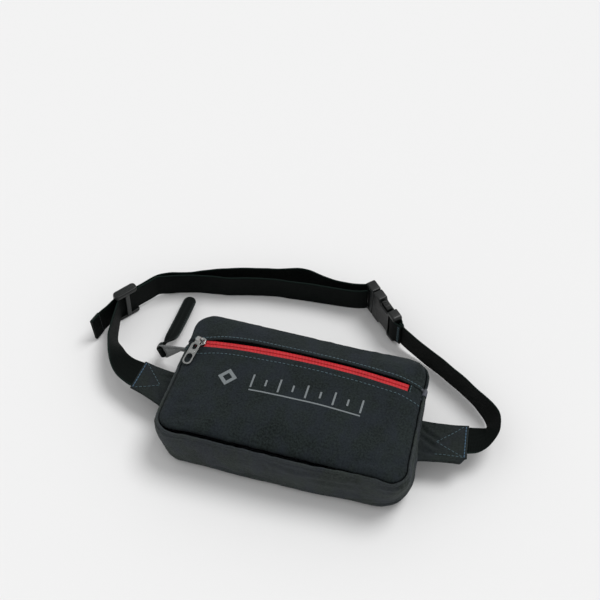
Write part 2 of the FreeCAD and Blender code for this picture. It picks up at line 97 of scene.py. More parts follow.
def smooth(a, b, x):
    """0 below a, 1 above b, smooth in between; a may be larger than b."""
    t = min(1.0, max(0.0, (x - a) / (b - a)))
    return t * t * (3 - 2 * t)


def soft_min(a, b, k):
    """The smaller of two heights, rounded where they meet."""
    h = max(k - abs(a - b), 0.0) / k
    return min(a, b) - h * h * k / 4


def ripple(x, y, seed=0.0):
    """Smooth random height in about -1 to 1."""
    return noise.noise(Vector((x, y, seed)))


def catmull(points, step):
    """Points along a smooth curve through vectors of any size, about step apart by their first three."""
    out = []
    last = len(points) - 1
    for i in range(last):
        p0, p1, p2, p3 = (points[min(max(k, 0), last)] for k in (i - 1, i, i + 1, i + 2))
        length = math.dist(p1[:3], p2[:3])
        count = max(2, round(length / step))
        for j in range(count):
            t = j / count
            out.append([
                0.5 * (
                    2 * b + (c - a) * t + (2 * a - 5 * b + 4 * c - d) * t * t
                    + (3 * b - a - 3 * c + d) * t ** 3
                )
                for a, b, c, d in zip(p0, p1, p2, p3)
            ])
    out.append(list(points[last]))
    return out


def fold(x, y, path, depth, width):
    """Height of a fold along a path: a groove with a rounded ridge on both sides, fading at its ends."""
    best, along, total = 1e9, 0.0, 0.0
    for (ax, ay), (bx, by) in zip(path, path[1:]):
        dx, dy = bx - ax, by - ay
        length = math.hypot(dx, dy)
        t = min(1.0, max(0.0, ((x - ax) * dx + (y - ay) * dy) / length ** 2))
        gap = math.hypot(x - ax - t * dx, y - ay - t * dy)
        if gap < best:
            best, along = gap, total + t * length
        total += length
    if best > 5 * width:
        return 0.0
    fade = math.sin(math.pi * min(1.0, max(0.0, along / total))) ** 0.6
    ridge = 0.55 * math.exp(-((best - 2.0 * width) / (1.1 * width)) ** 2)
    return depth * fade * (ridge - math.exp(-(best / width) ** 2))


# ---------------------------------------------------------------- materials

class Shader:
    """A node material under construction."""

    def __init__(self, name):
        self.material = bpy.data.materials.new(name)
        self.material.use_nodes = True
        self.tree = self.material.node_tree
        self.surface = self.tree.nodes["Principled BSDF"]
        self.height = None

    def node(self, kind, **values):
        made = self.tree.nodes.new(kind)
        for key, value in values.items():
            setattr(made, key, value)
        return made

    def feed(self, socket, value):
        """Links a socket to a socket, or sets it to a constant."""
        if isinstance(value, bpy.types.NodeSocket):
            self.tree.links.new(value, socket)
        else:
            socket.default_value = value

    def math(self, operation, a, b=0.0, c=0.0):
        made = self.node("ShaderNodeMath", operation=operation)
        for socket, value in zip(made.inputs, (a, b, c)):
            self.feed(socket, value)
        return made.outputs[0]

    def place(self, source="UV"):
        """Flat coordinates in millimetres from the UV map, or solid ones from the object."""
        made = self.node("ShaderNodeTexCoord")
        split = self.node("ShaderNodeSeparateXYZ")
        self.feed(split.inputs[0], made.outputs[source])
        return made.outputs[source], split.outputs[0], split.outputs[1]

    def noise(self, place, scale, detail=3.0, rough=0.55, stretch=(1.0, 1.0, 1.0)):
        made = self.node("ShaderNodeMapping")
        self.feed(made.inputs["Vector"], place)
        made.inputs["Scale"].default_value = stretch
        tex = self.node("ShaderNodeTexNoise")
        self.feed(tex.inputs["Vector"], made.outputs[0])
        tex.inputs["Scale"].default_value = scale
        tex.inputs["Detail"].default_value = detail
        tex.inputs["Roughness"].default_value = rough
        return tex.outputs[0]

    def ramp(self, value, low, high, out_low=0.0, out_high=1.0):
        made = self.node("ShaderNodeMapRange", clamp=True)
        for socket, number in zip(made.inputs, (value, low, high, out_low, out_high)):
            self.feed(socket, number)
        return made.outputs[0]

    def mix(self, factor, a, b):
        """A colour between two colours or colour sockets."""
        made = self.node("ShaderNodeMix", data_type="RGBA")
        self.feed(made.inputs["Factor"], factor)
        for socket, value in ((made.inputs["A"], a), (made.inputs["B"], b)):
            self.feed(socket, value if isinstance(value, bpy.types.NodeSocket) else (*value, 1.0))
        return made.outputs["Result"]

    def bump(self, height, distance, strength=1.0):
        made = self.node("ShaderNodeBump")
        made.inputs["Strength"].default_value = strength
        made.inputs["Distance"].default_value = distance * MM
        self.feed(made.inputs["Height"], height)
        if self.height is not None:
            self.feed(made.inputs["Normal"], self.height)
        self.height = made.outputs[0]

    def finish(self, colour, roughness, metallic=0.0, sheen=0.0, specular=0.5, sheen_tint=(1, 1, 1)):
        inputs = self.surface.inputs
        self.feed(
            inputs["Base Color"], colour if isinstance(colour, bpy.types.NodeSocket) else (*colour, 1.0)
        )
        self.feed(inputs["Roughness"], roughness)
        inputs["Metallic"].default_value = metallic
        inputs["Specular IOR Level"].default_value = specular
        inputs["Sheen Weight"].default_value = sheen
        inputs["Sheen Roughness"].default_value = 0.45
        inputs["Sheen Tint"].default_value = (*sheen_tint, 1.0)
        if self.height is not None:
            self.feed(inputs["Normal"], self.height)
        self.material.diffuse_color = (0.1, 0.1, 0.1, 1.0)
        return self.material


def scaled(colour, factor):
    return [factor * channel for channel in colour]


def woven(name, dark, light, pitch, depth, mottle=0.35, sheen=0.03, rough=0.85, tint=(0.8, 0.88, 1.0)):
    """Plain-weave cloth: crossing threads of a pitch in millimetres, uneven dye and a fine nap."""
    s = Shader(name)
    place, u, v = s.place()
    wobble = s.math("MULTIPLY", s.noise(place, 0.08), 1.2)
    warp = s.math("SINE", s.math("MULTIPLY", s.math("ADD", u, wobble), TAU / pitch))
    weft = s.math("SINE", s.math("MULTIPLY", s.math("ADD", v, wobble), TAU / pitch))
    cross = s.math("MULTIPLY_ADD", s.math("MULTIPLY", warp, weft), 0.5, 0.5)
    slub = s.noise(place, 0.55, 4.0, 0.7, (0.18, 1.0, 1.0))
    grain = s.noise(place, 1.1, 3.0, 0.7)
    fleck = s.noise(place, 0.62, 3.0, 0.8)
    cloud = s.noise(place, 0.03, 4.0, 0.6)
    threads = s.math(
        "MULTIPLY_ADD", slub, 0.5, s.math("MULTIPLY_ADD", grain, 0.5, s.math("MULTIPLY", cross, 0.6))
    )
    threads = s.math("MULTIPLY_ADD", fleck, 2.6, threads)
    tone = s.ramp(threads, 1.75, 2.4)
    patch = s.ramp(cloud, 0.35, 0.65)
    colour = s.mix(tone, dark, light)
    worn = [channel * (1 + 2 * mottle) for channel in light]
    colour = s.mix(s.math("MULTIPLY", patch, mottle), colour, worn)
    cool = [light[0] * 0.95, light[1] * 0.85, light[2] * 1.3]
    hue = s.noise(place, 0.05, 3.0, 0.6, (1.0, 0.7, 1.0))
    colour = s.mix(s.ramp(hue, 0.42, 0.62, 0.0, 0.4), colour, cool)
    s.bump(cross, depth)
    s.bump(s.noise(place, 0.22, 4.0, 0.6), 0.35, 0.7)
    roughness = s.ramp(grain, 0.3, 0.7, rough - 0.1, rough + 0.08)
    return s.finish(colour, roughness, sheen=sheen, specular=0.13, sheen_tint=tint)


def webbing_material(name, dark, light, rib, depth=0.22, sheen=0.008, width=WEB_WIDTH):
    """Ribbed webbing: cross ribs along its length, fine warp lines, and a selvage at each edge painted
    lighter as a highlight.
    """
    s = Shader(name)
    place, u, v = s.place()
    wobble = s.math("MULTIPLY", s.noise(place, 0.15), 0.5)
    ribs = s.math("SINE", s.math("MULTIPLY", s.math("ADD", u, wobble), TAU / rib))
    warp = s.math("SINE", s.math("MULTIPLY", v, TAU / 0.85))
    offset = s.math("MULTIPLY", s.math("SIGN", warp), math.pi / 2)
    shifted = s.math("SINE", s.math("ADD", s.math("MULTIPLY", u, TAU / rib), offset))
    both = s.math("MULTIPLY_ADD", shifted, 0.25, s.math("MULTIPLY_ADD", warp, 0.2, ribs))
    height = s.math("MULTIPLY_ADD", both, 0.35, 0.5)
    fuzz = s.noise(place, 1.6, 3.0, 0.7)
    cloud = s.noise(place, 0.04, 3.0, 0.6, (0.5, 1.0, 1.0))
    tone = s.ramp(s.math("MULTIPLY_ADD", fuzz, 0.5, height), 0.2, 1.3)
    colour = s.mix(tone, dark, light)
    colour = s.mix(s.ramp(cloud, 0.4, 0.7, 0.0, 0.35), colour, scaled(light, 1.4))
    # Painted highlight: a band along both edges of the webbing is painted much lighter.
    from_middle = s.math("ABSOLUTE", s.math("SUBTRACT", v, width / 2))
    edge_highlight = s.ramp(from_middle, width / 2 - 1.3, width / 2 - 0.3)
    stripe = s.ramp(s.math("SINE", s.math("MULTIPLY", v, TAU / 4.1)), 0.2, 1.0, 0.0, 0.3)
    colour = s.mix(stripe, colour, scaled(light, 1.8))
    colour = s.mix(s.math("MULTIPLY", edge_highlight, 0.8), colour, scaled(light, 5.0))
    s.bump(height, depth)
    return s.finish(colour, s.ramp(fuzz, 0.3, 0.7, 0.5, 0.72), sheen=sheen, specular=0.055)


def tape_material(name, dark, light):
    """Close-woven zip tape with fine ribs along it."""
    s = Shader(name)
    place, u, v = s.place()
    ribs = s.math("SINE", s.math("MULTIPLY", v, TAU / 0.8))
    cross = s.math("SINE", s.math("MULTIPLY", s.math("ADD", u, v), TAU / 0.7))
    height = s.math("MULTIPLY_ADD", s.math("MULTIPLY_ADD", cross, 0.6, ribs), 0.3, 0.5)
    fuzz = s.noise(place, 1.4)
    colour = s.mix(s.ramp(s.math("MULTIPLY_ADD", fuzz, 0.5, height), 0.3, 1.2), dark, light)
    s.bump(height, 0.12)
    return s.finish(colour, 0.7, sheen=0.01, specular=0.12)


def coil_material(name, dark, light, rough=0.42):
    """Moulded nylon coil of a zip, slightly glossy, with the tops of its teeth painted lighter as a
    highlight.
    """
    s = Shader(name)
    place, u, v = s.place()
    teeth = s.math("SINE", s.math("MULTIPLY", s.math("MULTIPLY_ADD", v, 0.35, u), TAU / 1.25))
    fuzz = s.noise(place, 0.9)
    patch = s.noise(place, 0.05)
    # Painted highlight: the crests of the teeth are painted lighter than the hollows between them.
    tone = s.ramp(s.math("MULTIPLY_ADD", fuzz, 0.6, s.math("MULTIPLY", teeth, 0.45)), -0.2, 0.75)
    colour = s.mix(tone, dark, light)
    colour = s.mix(s.ramp(patch, 0.4, 0.7, 0.0, 0.3), colour, [min(1.0, 1.25 * c) for c in light])
    s.bump(teeth, 0.16)
    return s.finish(colour, s.ramp(fuzz, 0.3, 0.7, rough - 0.08, rough + 0.12), specular=0.5)


def plastic_material(name, base):
    """Moulded plastic: fine spark-eroded grain, faint flow marks and lighter edges painted on as highlights.
    """
    s = Shader(name)
    place, _, _ = s.place("Object")
    grain = s.noise(place, 2600.0, 2.0, 0.6)
    flow = s.noise(place, 90.0, 3.0, 0.6, (1.0, 0.4, 1.0))
    geometry = s.node("ShaderNodeNewGeometry")
    # Painted highlight: the sharp outer edges are painted lighter.
    edge = s.ramp(geometry.outputs["Pointiness"], 0.52, 0.60)
    colour = s.mix(s.ramp(flow, 0.35, 0.7), base, scaled(base, 1.35))
    colour = s.mix(s.math("MULTIPLY", edge, 0.7), colour, scaled(base, 4.5))
    s.bump(grain, 0.035)
    return s.finish(colour, s.ramp(flow, 0.3, 0.7, 0.26, 0.40), specular=0.34)


def metal_material(name, base, rough):
    """Plated die-cast metal, polished in tumbling, with fine scratches and painted shade: dark in its
    hollows, partly dark on flat faces.
    """
    s = Shader(name)
    place, _, _ = s.place("Object")
    scratch = s.noise(place, 900.0, 3.0, 0.7, (1.0, 0.12, 1.0))
    cloud = s.noise(place, 220.0, 3.0, 0.6)
    geometry = s.node("ShaderNodeNewGeometry")
    edge = s.ramp(geometry.outputs["Pointiness"], 0.46, 0.54)
    # Painted shade: hollows are painted dark, flat faces half way, and outer edges keep the full colour.
    colour = s.mix(edge, scaled(base, 0.16), base)
    colour = s.mix(s.ramp(cloud, 0.4, 0.7, 0.0, 0.4), colour, scaled(base, 0.7))
    s.bump(scratch, 0.02)
    return s.finish(colour, s.ramp(scratch, 0.3, 0.7, rough - 0.06, rough + 0.12), metallic=1.0)


def thread_material(name, colour):
    """Twisted sewing thread with a soft gloss."""
    s = Shader(name)
    _, u, v = s.place()
    ply = s.math("SINE", s.math("MULTIPLY", s.math("MULTIPLY_ADD", v, 1.5, u), TAU / 0.55))
    shade = s.mix(s.ramp(ply, -1.0, 1.0), scaled(colour, 0.55), colour)
    s.bump(ply, 0.06)
    return s.finish(shade, 0.55, sheen=0.05, specular=0.3)


def print_material(name, colour):
    """Screen print on cloth, slightly broken up by the weave."""
    s = Shader(name)
    place, u, v = s.place()
    wear = s.noise(place, 1.3, 4.0, 0.7)
    warp = s.math("SINE", s.math("MULTIPLY", u, TAU / 0.9))
    weave = s.math("MULTIPLY", warp, s.math("SINE", s.math("MULTIPLY", v, TAU / 0.9)))
    tone = s.ramp(s.math("MULTIPLY_ADD", weave, 0.12, wear), 0.3, 0.62)
    shade = s.mix(tone, scaled(colour, 0.45), colour)
    s.bump(weave, 0.05)
    return s.finish(shade, 0.6, specular=0.25)


def mesh_cloth_material(name, dark, light):
    """Knitted spacer mesh for the back: rows of round openings."""
    s = Shader(name)
    place, u, v = s.place()
    pitch = 2.4
    waves = [s.math("COSINE", s.math("MULTIPLY", u, TAU / pitch))]
    for lean in (0.5, -0.5):
        slanted = s.math("MULTIPLY_ADD", u, lean, s.math("MULTIPLY", v, 0.87))
        waves.append(s.math("COSINE", s.math("MULTIPLY", slanted, TAU / pitch)))
    holes = s.ramp(s.math("ADD", waves[0], s.math("ADD", waves[1], waves[2])), 0.2, 1.6)
    fuzz = s.noise(place, 1.5)
    colour = s.mix(holes, light, dark)
    colour = s.mix(s.ramp(fuzz, 0.4, 0.8, 0.0, 0.4), colour, light)
    s.bump(s.math("SUBTRACT", 1.0, holes), 0.5)
    return s.finish(colour, 0.85, sheen=0.04, specular=0.15)


FRONT = woven("front_cloth", (0.0010, 0.0026, 0.0024), (0.0180, 0.0248, 0.0245), 0.85, 0.2, mottle=0.24)
CANVAS = woven(
    "gusset_canvas", (0.0060, 0.0085, 0.0076), (0.0350, 0.0425, 0.0390), 1.05, 0.18, mottle=0.3, rough=0.74
)
WING_CLOTH = woven(
    "wing_canvas", (0.0020, 0.0038, 0.0034), (0.0175, 0.0228, 0.0214), 1.05, 0.18, mottle=0.3, rough=0.76
)
LINING = woven(
    "lining_cloth", (0.045, 0.050, 0.056), (0.085, 0.092, 0.10), 0.6, 0.06, mottle=0.2, rough=0.6
)
BACK = mesh_cloth_material("back_mesh", (0.006, 0.007, 0.008), (0.028, 0.031, 0.034))
WEBBING = webbing_material("belt_webbing", (0.0002, 0.0006, 0.0005), (0.0018, 0.0034, 0.0029), 1.15)
TAB = webbing_material(
    "tab_tape", (0.0014, 0.0022, 0.0020), (0.0080, 0.0102, 0.0096), 0.9, 0.14, width=11.5
)
BINDING = webbing_material("binding_tape", (0.004, 0.005, 0.006), (0.015, 0.017, 0.019), 0.8, 0.1)
BLACK_TAPE = tape_material("black_zip_tape", (0.0006, 0.0007, 0.0008), (0.0022, 0.0024, 0.0026))
RED_COIL = coil_material("red_zip_coil", (0.30, 0.009, 0.013), (0.72, 0.028, 0.038))
BLACK_COIL = coil_material("black_zip_coil", (0.003, 0.0035, 0.004), (0.018, 0.020, 0.022))
PLASTIC = plastic_material("buckle_plastic", (0.0040, 0.0050, 0.0048))
METAL = metal_material("plated_metal", (0.44, 0.45, 0.44), 0.24)
GUNMETAL = metal_material("dark_plated_metal", (0.23, 0.24, 0.24), 0.28)
THREAD = thread_material("blue_grey_thread", (0.085, 0.145, 0.170))
BLUE_THREAD = thread_material("blue_thread", (0.07, 0.15, 0.24))
DARK_THREAD = thread_material("dark_thread", (0.022, 0.030, 0.034))
PRINT = print_material("grey_print", (0.21, 0.235, 0.245))


# ---------------------------------------------------------------- mesh helpers

def new_mesh(name, points, faces, material, uvs=None, extra=None):
    """An object from points in millimetres; uvs, one for each point, are millimetres too."""
    mesh = bpy.data.meshes.new(name)
    mesh.from_pydata([(x * MM, y * MM, z * MM) for x, y, z in points], [], faces)
    if uvs is not None:
        layer = mesh.uv_layers.new(name="flat")
        for loop in mesh.loops:
            layer.data[loop.index].uv = uvs[loop.vertex_index]
    mesh.polygons.foreach_set("use_smooth", [True] * len(mesh.polygons))
    mesh.materials.append(material)
    if extra is not None:
        mesh.materials.append(extra)
    obj = bpy.data.objects.new(name, mesh)
    bpy.context.scene.collection.objects.link(obj)
    return obj


def grid(name, rows, uv_rows, material, closed=False, flip=False, extra=None):
    """A surface through rows of points."""
    across = len(rows[0])
    points = [p for row in rows for p in row]
    uvs = [p for row in uv_rows for p in row]
    faces = []
    for j in range(len(rows) - 1):
        for i in range(across if closed else across - 1):
            k = (i + 1) % across
            face = (j * across + i, j * across + k, (j + 1) * across + k, (j + 1) * across + i)
            faces.append(face[::-1] if flip else face)
    return new_mesh(name, points, faces, material, uvs, extra)


def bake(obj):
    """Applies an object's modifiers to its mesh."""
    bpy.context.view_layer.update()
    ready = obj.evaluated_get(bpy.context.evaluated_depsgraph_get())
    mesh = bpy.data.meshes.new_from_object(ready)
    obj.modifiers.clear()
    obj.data = mesh
    return obj


def close_ends(obj):
    """Fills the two open ends of a closed strip."""
    cap = bmesh.new()
    cap.from_mesh(obj.data)
    bmesh.ops.holes_fill(cap, edges=[e for e in cap.edges if e.is_boundary], sides=0)
    bmesh.ops.recalc_face_normals(cap, faces=cap.faces[:])
    cap.to_mesh(obj.data)
    cap.free()


def thicken(obj, thick, lined=False):
    """Gives a sheet its thickness on the inside."""
    solid = obj.modifiers.new("thickness", "SOLIDIFY")
    solid.thickness = thick * MM
    solid.offset = -1.0
    solid.use_even_offset = False
    if lined:
        solid.material_offset = 1
        solid.material_offset_rim = 0
    return bake(obj)


SETTLE_FRAMES = 20


def settle(obj, rows, across, low, high, side, slack, pressure, most):
    """Lets a sheet settle as slack cloth between its sewn edges, then keeps a share of the movement.

    The low and high rows and the side columns are sewn down. No point goes farther than most millimetres.
    """
    sewn = []
    for j in range(rows):
        for i in range(across):
            if j < low or j >= rows - high or i < side or i >= across - side:
                sewn.append(j * across + i)
    obj.vertex_groups.new(name="sewn").add(sewn, 1.0, "REPLACE")
    start = [vert.co.copy() for vert in obj.data.vertices]
    cloth = obj.modifiers.new("cloth", "CLOTH")
    cloth.settings.vertex_group_mass = "sewn"
    cloth.settings.quality = 4
    cloth.settings.mass = 0.05
    cloth.settings.tension_stiffness = 12.0
    cloth.settings.compression_stiffness = 12.0
    cloth.settings.shear_stiffness = 4.0
    cloth.settings.bending_stiffness = 0.3
    cloth.settings.air_damping = 2.0
    cloth.settings.shrink_min = -slack
    cloth.settings.use_pressure = True
    cloth.settings.uniform_pressure_force = pressure
    cloth.settings.effector_weights.gravity = 0.0
    cloth.collision_settings.use_collision = False
    cloth.point_cache.frame_start = 1
    cloth.point_cache.frame_end = SETTLE_FRAMES
    scene = bpy.context.scene
    for frame in range(1, SETTLE_FRAMES + 1):
        scene.frame_set(frame)
    bake(obj)
    scene.frame_set(1)
    for vert, old in zip(obj.data.vertices, start):
        moved = vert.co - old
        vert.co = old + moved * (most * MM / (most * MM + moved.length))
    obj.vertex_groups.clear()
    return obj


def over(obj):
    """A function giving the height and normal of a sheet's top at a place in plan."""
    points = [tuple(vert.co / MM) for vert in obj.data.vertices]
    tree = BVHTree.FromPolygons(points, [tuple(face.vertices) for face in obj.data.polygons])

    def at(x, y):
        spot, normal, _, _ = tree.ray_cast(Vector((x, y, 90.0)), Vector((0, 0, -1)))
        return (None, None) if spot is None else (spot.z, normal)

    return at


def auto_smooth(mesh, degrees=32.0):
    """Smooth shading with crisp edges where faces meet at more than an angle."""
    limit = math.radians(degrees)
    bm = bmesh.new()
    bm.from_mesh(mesh)
    for edge in bm.edges:
        edge.smooth = len(edge.link_faces) != 2 or edge.calc_face_angle(0.0) < limit
    for face in bm.faces:
        face.smooth = True
    bm.to_mesh(mesh)
    bm.free()


def rounded_outline(corners, segments=6):
    """A closed outline from (x, y, radius) corners, each rounded."""
    out = []
    count = len(corners)
    for i, (x, y, radius) in enumerate(corners):
        here = Vector((x, y))
        before = Vector(corners[i - 1][:2]) - here
        after = Vector(corners[(i + 1) % count][:2]) - here
        half = before.angle(after) / 2
        reach = min(radius / math.tan(half), 0.49 * before.length, 0.49 * after.length)
        if radius <= 0:
            out.append((x, y))
            continue
        start = here + before.normalized() * reach
        end = here + after.normalized() * reach
        for j in range(segments + 1):
            t = j / segments
            p = start * (1 - t) ** 2 + here * (2 * t * (1 - t)) + end * t ** 2
            out.append((p.x, p.y))
    return out


def box_outline(x0, x1, y0, y1, radius, segments=6):
    """A rounded rectangle."""
    return rounded_outline([(x0, y0, radius), (x1, y0, radius), (x1, y1, radius), (x0, y1, radius)], segments)


def stadium(x0, x1, y0, y1, segments=10):
    """An outline with half-round ends, longer along y."""
    radius = (x1 - x0) / 2
    middle = (x0 + x1) / 2
    out = []
    for end, start in ((y1 - radius, 0.0), (y0 + radius, math.pi)):
        for j in range(segments + 1):
            a = start + math.pi * j / segments
            out.append((middle + radius * math.cos(a), end + radius * math.sin(a)))
    return out


def slab(outline, low, high, bevel=0.0, segments=3, holes=()):
    """A bmesh of a flat outline raised from low to high, with rounded rims and through holes."""
    bm = bmesh.new()
    for shape in (outline, *holes):
        verts = [bm.verts.new((x, y, low)) for x, y in shape]
        for i in range(len(verts)):
            bm.edges.new((verts[i - 1], verts[i]))
    if holes:
        bmesh.ops.triangle_fill(bm, use_beauty=True, use_dissolve=True, edges=bm.edges[:])
    else:
        bm.faces.new(bm.verts[:])
    bmesh.ops.recalc_face_normals(bm, faces=bm.faces[:])
    if bm.faces[:][0].normal.z > 0:
        bmesh.ops.reverse_faces(bm, faces=bm.faces[:])
    grown = bmesh.ops.extrude_face_region(bm, geom=bm.faces[:])
    lifted = [g for g in grown["geom"] if isinstance(g, bmesh.types.BMVert)]
    bmesh.ops.translate(bm, verts=lifted, vec=(0, 0, high - low))
    bmesh.ops.recalc_face_normals(bm, faces=bm.faces[:])
    if bevel > 0:
        rims = []
        for edge in bm.edges:
            flat = abs(edge.verts[0].co.z - edge.verts[1].co.z) < 1e-6
            if flat and len(edge.link_faces) == 2 and edge.calc_face_angle(0.0) > 1.0:
                rims.append(edge)
        bmesh.ops.bevel(
            bm, geom=rims, offset=bevel, segments=segments, profile=0.6, affect="EDGES", clamp_overlap=True
        )
    return bm


def joined(name, parts, material):
    """One object from several bmeshes, each with the function that places its points."""
    whole = bmesh.new()
    for bm, place in parts:
        if place is not None:
            for vert in bm.verts:
                vert.co = Vector(place(vert.co))
        piece = bpy.data.meshes.new("piece")
        bm.to_mesh(piece)
        bm.free()
        whole.from_mesh(piece)
        bpy.data.meshes.remove(piece)
    bmesh.ops.recalc_face_normals(whole, faces=whole.faces[:])
    for vert in whole.verts:
        vert.co *= MM
    mesh = bpy.data.meshes.new(name)
    whole.to_mesh(mesh)
    whole.free()
    auto_smooth(mesh)
    mesh.materials.append(material)
    obj = bpy.data.objects.new(name, mesh)
    bpy.context.scene.collection.objects.link(obj)
    return obj


def cut(obj, cutters):
    """Takes cutter bmeshes, in millimetres, out of an object."""
    for bm, place in cutters:
        tool = joined("cutter", [(bm, place)], PLASTIC)
        hole = obj.modifiers.new("cut", "BOOLEAN")
        hole.operation = "DIFFERENCE"
        hole.solver = "EXACT"
        hole.object = tool
        bake(obj)
        bpy.data.objects.remove(tool)
    auto_smooth(obj.data)
    return obj


def tube(path, radius, sides=10, flat=1.0):
    """A bmesh of a round or flattened bar along a path of points."""
    bm = bmesh.new()
    rings = []
    points = [Vector(p) for p in path]
    side = None
    for i, p in enumerate(points):
        travel = (points[min(i + 1, len(points) - 1)] - points[max(i - 1, 0)]).normalized()
        if side is None:
            side = travel.orthogonal().normalized()
        side = (side - travel * side.dot(travel)).normalized()
        other = travel.cross(side)
        rings.append([
            bm.verts.new(
                p + side * (radius * math.cos(TAU * k / sides)) + other * (
                    radius * flat * math.sin(TAU * k / sides)
                )
            )
            for k in range(sides)
        ])
    for a, b in zip(rings, rings[1:]):
        for k in range(sides):
            bm.faces.new((a[k], a[(k + 1) % sides], b[(k + 1) % sides], b[k]))
    bm.faces.new(rings[0][::-1])
    bm.faces.new(rings[-1])
    return bm


STITCH_RINGS = ((-0.5, 0.25), (-0.40, 0.8), (-0.15, 1.0), (0.15, 1.0), (0.40, 0.8), (0.5, 0.25))


def stitches(name, lines, material, length=2.5, gap=1.0, width=0.62, height=0.42, sink=0.12, zigzag=0.0):
    """Sewing stitches along lines of (point, normal) pairs in millimetres, as one mesh."""
    points, faces, uvs = [], [], []
    for line in lines:
        spots = [Vector(p) for p, n in line]
        ups = [Vector(n).normalized() for p, n in line]
        marks = [0.0]
        for a, b in zip(spots, spots[1:]):
            marks.append(marks[-1] + (b - a).length)

        def at(distance):
            for k in range(len(marks) - 1):
                if distance <= marks[k + 1] or k == len(marks) - 2:
                    t = (distance - marks[k]) / max(1e-9, marks[k + 1] - marks[k])
                    return spots[k].lerp(spots[k + 1], t), ups[k].lerp(ups[k + 1], t).normalized()

        count = max(1, int((marks[-1] + gap) / (length + gap)))
        pitch = (marks[-1] + gap) / count
        for i in range(count):
            start, _ = at(i * pitch)
            end, up = at(min(marks[-1], i * pitch + pitch - gap))
            if zigzag:
                side = up.cross(end - start).normalized() * zigzag
                start, end = start + side * (-1) ** i, end - side * (-1) ** i
            travel = end - start
            side = up.cross(travel).normalized()
            middle = (start + end) / 2 + up * (height / 2 - sink)
            base = len(points)
            for t, size in STITCH_RINGS:
                lift = up * (0.06 - 0.35 * abs(t) ** 3)
                for k in range(6):
                    a = TAU * k / 6
                    p = middle + travel * t + lift + side * (size * width / 2 * math.cos(a)) + up * (
                        size * height / 2 * math.sin(a)
                    )
                    points.append(tuple(p))
                    uvs.append((t * travel.length, k / 6))
            for r in range(len(STITCH_RINGS) - 1):
                for k in range(6):
                    a, b = base + 6 * r + k, base + 6 * r + (k + 1) % 6
                    faces.append((a, b, b + 6, a + 6))
            faces.append(tuple(base + k for k in range(5, -1, -1)))
            faces.append(tuple(base + 30 + k for k in range(6)))
    return new_mesh(name, points, faces, material, uvs)


# ---------------------------------------------------------------- the bag's outline

def outline_path():
    """Samples (x, y, nx, ny, s) clockwise round the bag from the right end of the gusset join."""
    lean = math.atan2(2 * HALF_LENGTH * TAPER, 2 * HALF_HEIGHT)
    edge = HALF_LENGTH * math.cos(lean) - CORNER
    inner_y = HALF_HEIGHT - CORNER

    def centre_x(y):
        return (edge - y * math.sin(lean)) / math.cos(lean)

    top, bottom = centre_x(inner_y), centre_x(-inner_y)
    arcs = [
        ((top, inner_y), lean, lean),
        ((bottom, -inner_y), lean, -math.pi / 2),
        ((-bottom, -inner_y), -math.pi / 2, -math.pi - lean),
        ((-top, inner_y), -math.pi - lean, -1.5 * math.pi),
        ((top, inner_y), -1.5 * math.pi, lean - TAU),
    ]
    raw = []
    for (cx, cy), a0, a1 in arcs:
        count = max(1, round(abs(a1 - a0) * CORNER / 1.4))
        for i in range(count + 1):
            a = a0 + (a1 - a0) * i / count
            raw.append((cx + CORNER * math.cos(a), cy + CORNER * math.sin(a), math.cos(a), math.sin(a)))
    start = (side_x(JOIN_Y), JOIN_Y, math.cos(lean), math.sin(lean))
    raw = [start] + raw[1:] + [start]
    dense = [start]
    for a, b in zip(raw, raw[1:]):
        length = math.dist(a[:2], b[:2])
        count = max(1, round(length / 1.5))
        for i in range(1, count + 1):
            dense.append(tuple(p + (q - p) * i / count for p, q in zip(a, b)))
    out, s, last = [], 0.0, dense[0]
    for p in dense:
        s += math.dist(p[:2], last[:2])
        out.append((*p, s))
        last = p
    return out


def side_x(y):
    """Half of the bag's length at a place along Y."""
    return HALF_LENGTH * (1 - TAPER * y / HALF_HEIGHT)


RIM = outline_path()
LEFT_JOIN = min(
    (p for p in RIM if p[0] < 0 and abs(p[1] - JOIN_Y) < 1.2), key=lambda p: abs(p[1] - JOIN_Y)
)[4]
LOWER_RIM = [p for p in RIM if p[4] <= LEFT_JOIN + 0.4]
UPPER_RIM = [p for p in RIM if p[4] >= LEFT_JOIN - 0.4]


def crown(x, y):
    """Height of the filled front face."""
    along = CROWN_Z - CROWN_RADIUS + math.sqrt(CROWN_RADIUS ** 2 - (x - CROWN_X) ** 2)
    across = SHOULDER_Z - SHOULDER_RADIUS + math.sqrt(SHOULDER_RADIUS ** 2 - y * y)
    return soft_min(along, across, 2.5)


def bulge(sample):
    """How far the filled rim stands outside the bag's back outline."""
    x, y, nx, ny, s = sample
    corner = {
        (True, True): 2.4, (True, False): 5.8, (False, True): 6.0, (False, False): 3.4
    }[(x > 0, y > 0)]
    left = 1.0 + 1.5 * smooth(-25, 30, y)
    sides = (0.6 if x > 0 else left) * nx * nx
    ends = (2.6 + 3.0 * smooth(30, 85, x) if y > 0 else 1.6) * ny * ny
    pucker = 0.45 * ripple(s / 8, 0, 3.0) + 0.2 * ripple(s / 3.2, 0, 5.0)
    return sides + ends + corner * (2 * nx * ny) ** 2 + pucker


def tuck(sample):
    """How far inside the rim the front panel's edge lies: behind the gusset's lip, or right over the edge."""
    nx, y = sample[2], sample[1]
    if y > JOIN_Y - 3:
        near_left_join = smooth(JOIN_Y + 2, JOIN_Y - 3, y) * smooth(0, -0.9, nx)
        return -0.3 + 3.0 * smooth(0.35, 0.9, nx) + 1.6 * near_left_join
    return 2.7


def rim_spot(sample, inwards):
    x, y, nx, ny = sample[:4]
    out = bulge(sample) - inwards
    return x + nx * out, y + ny * out


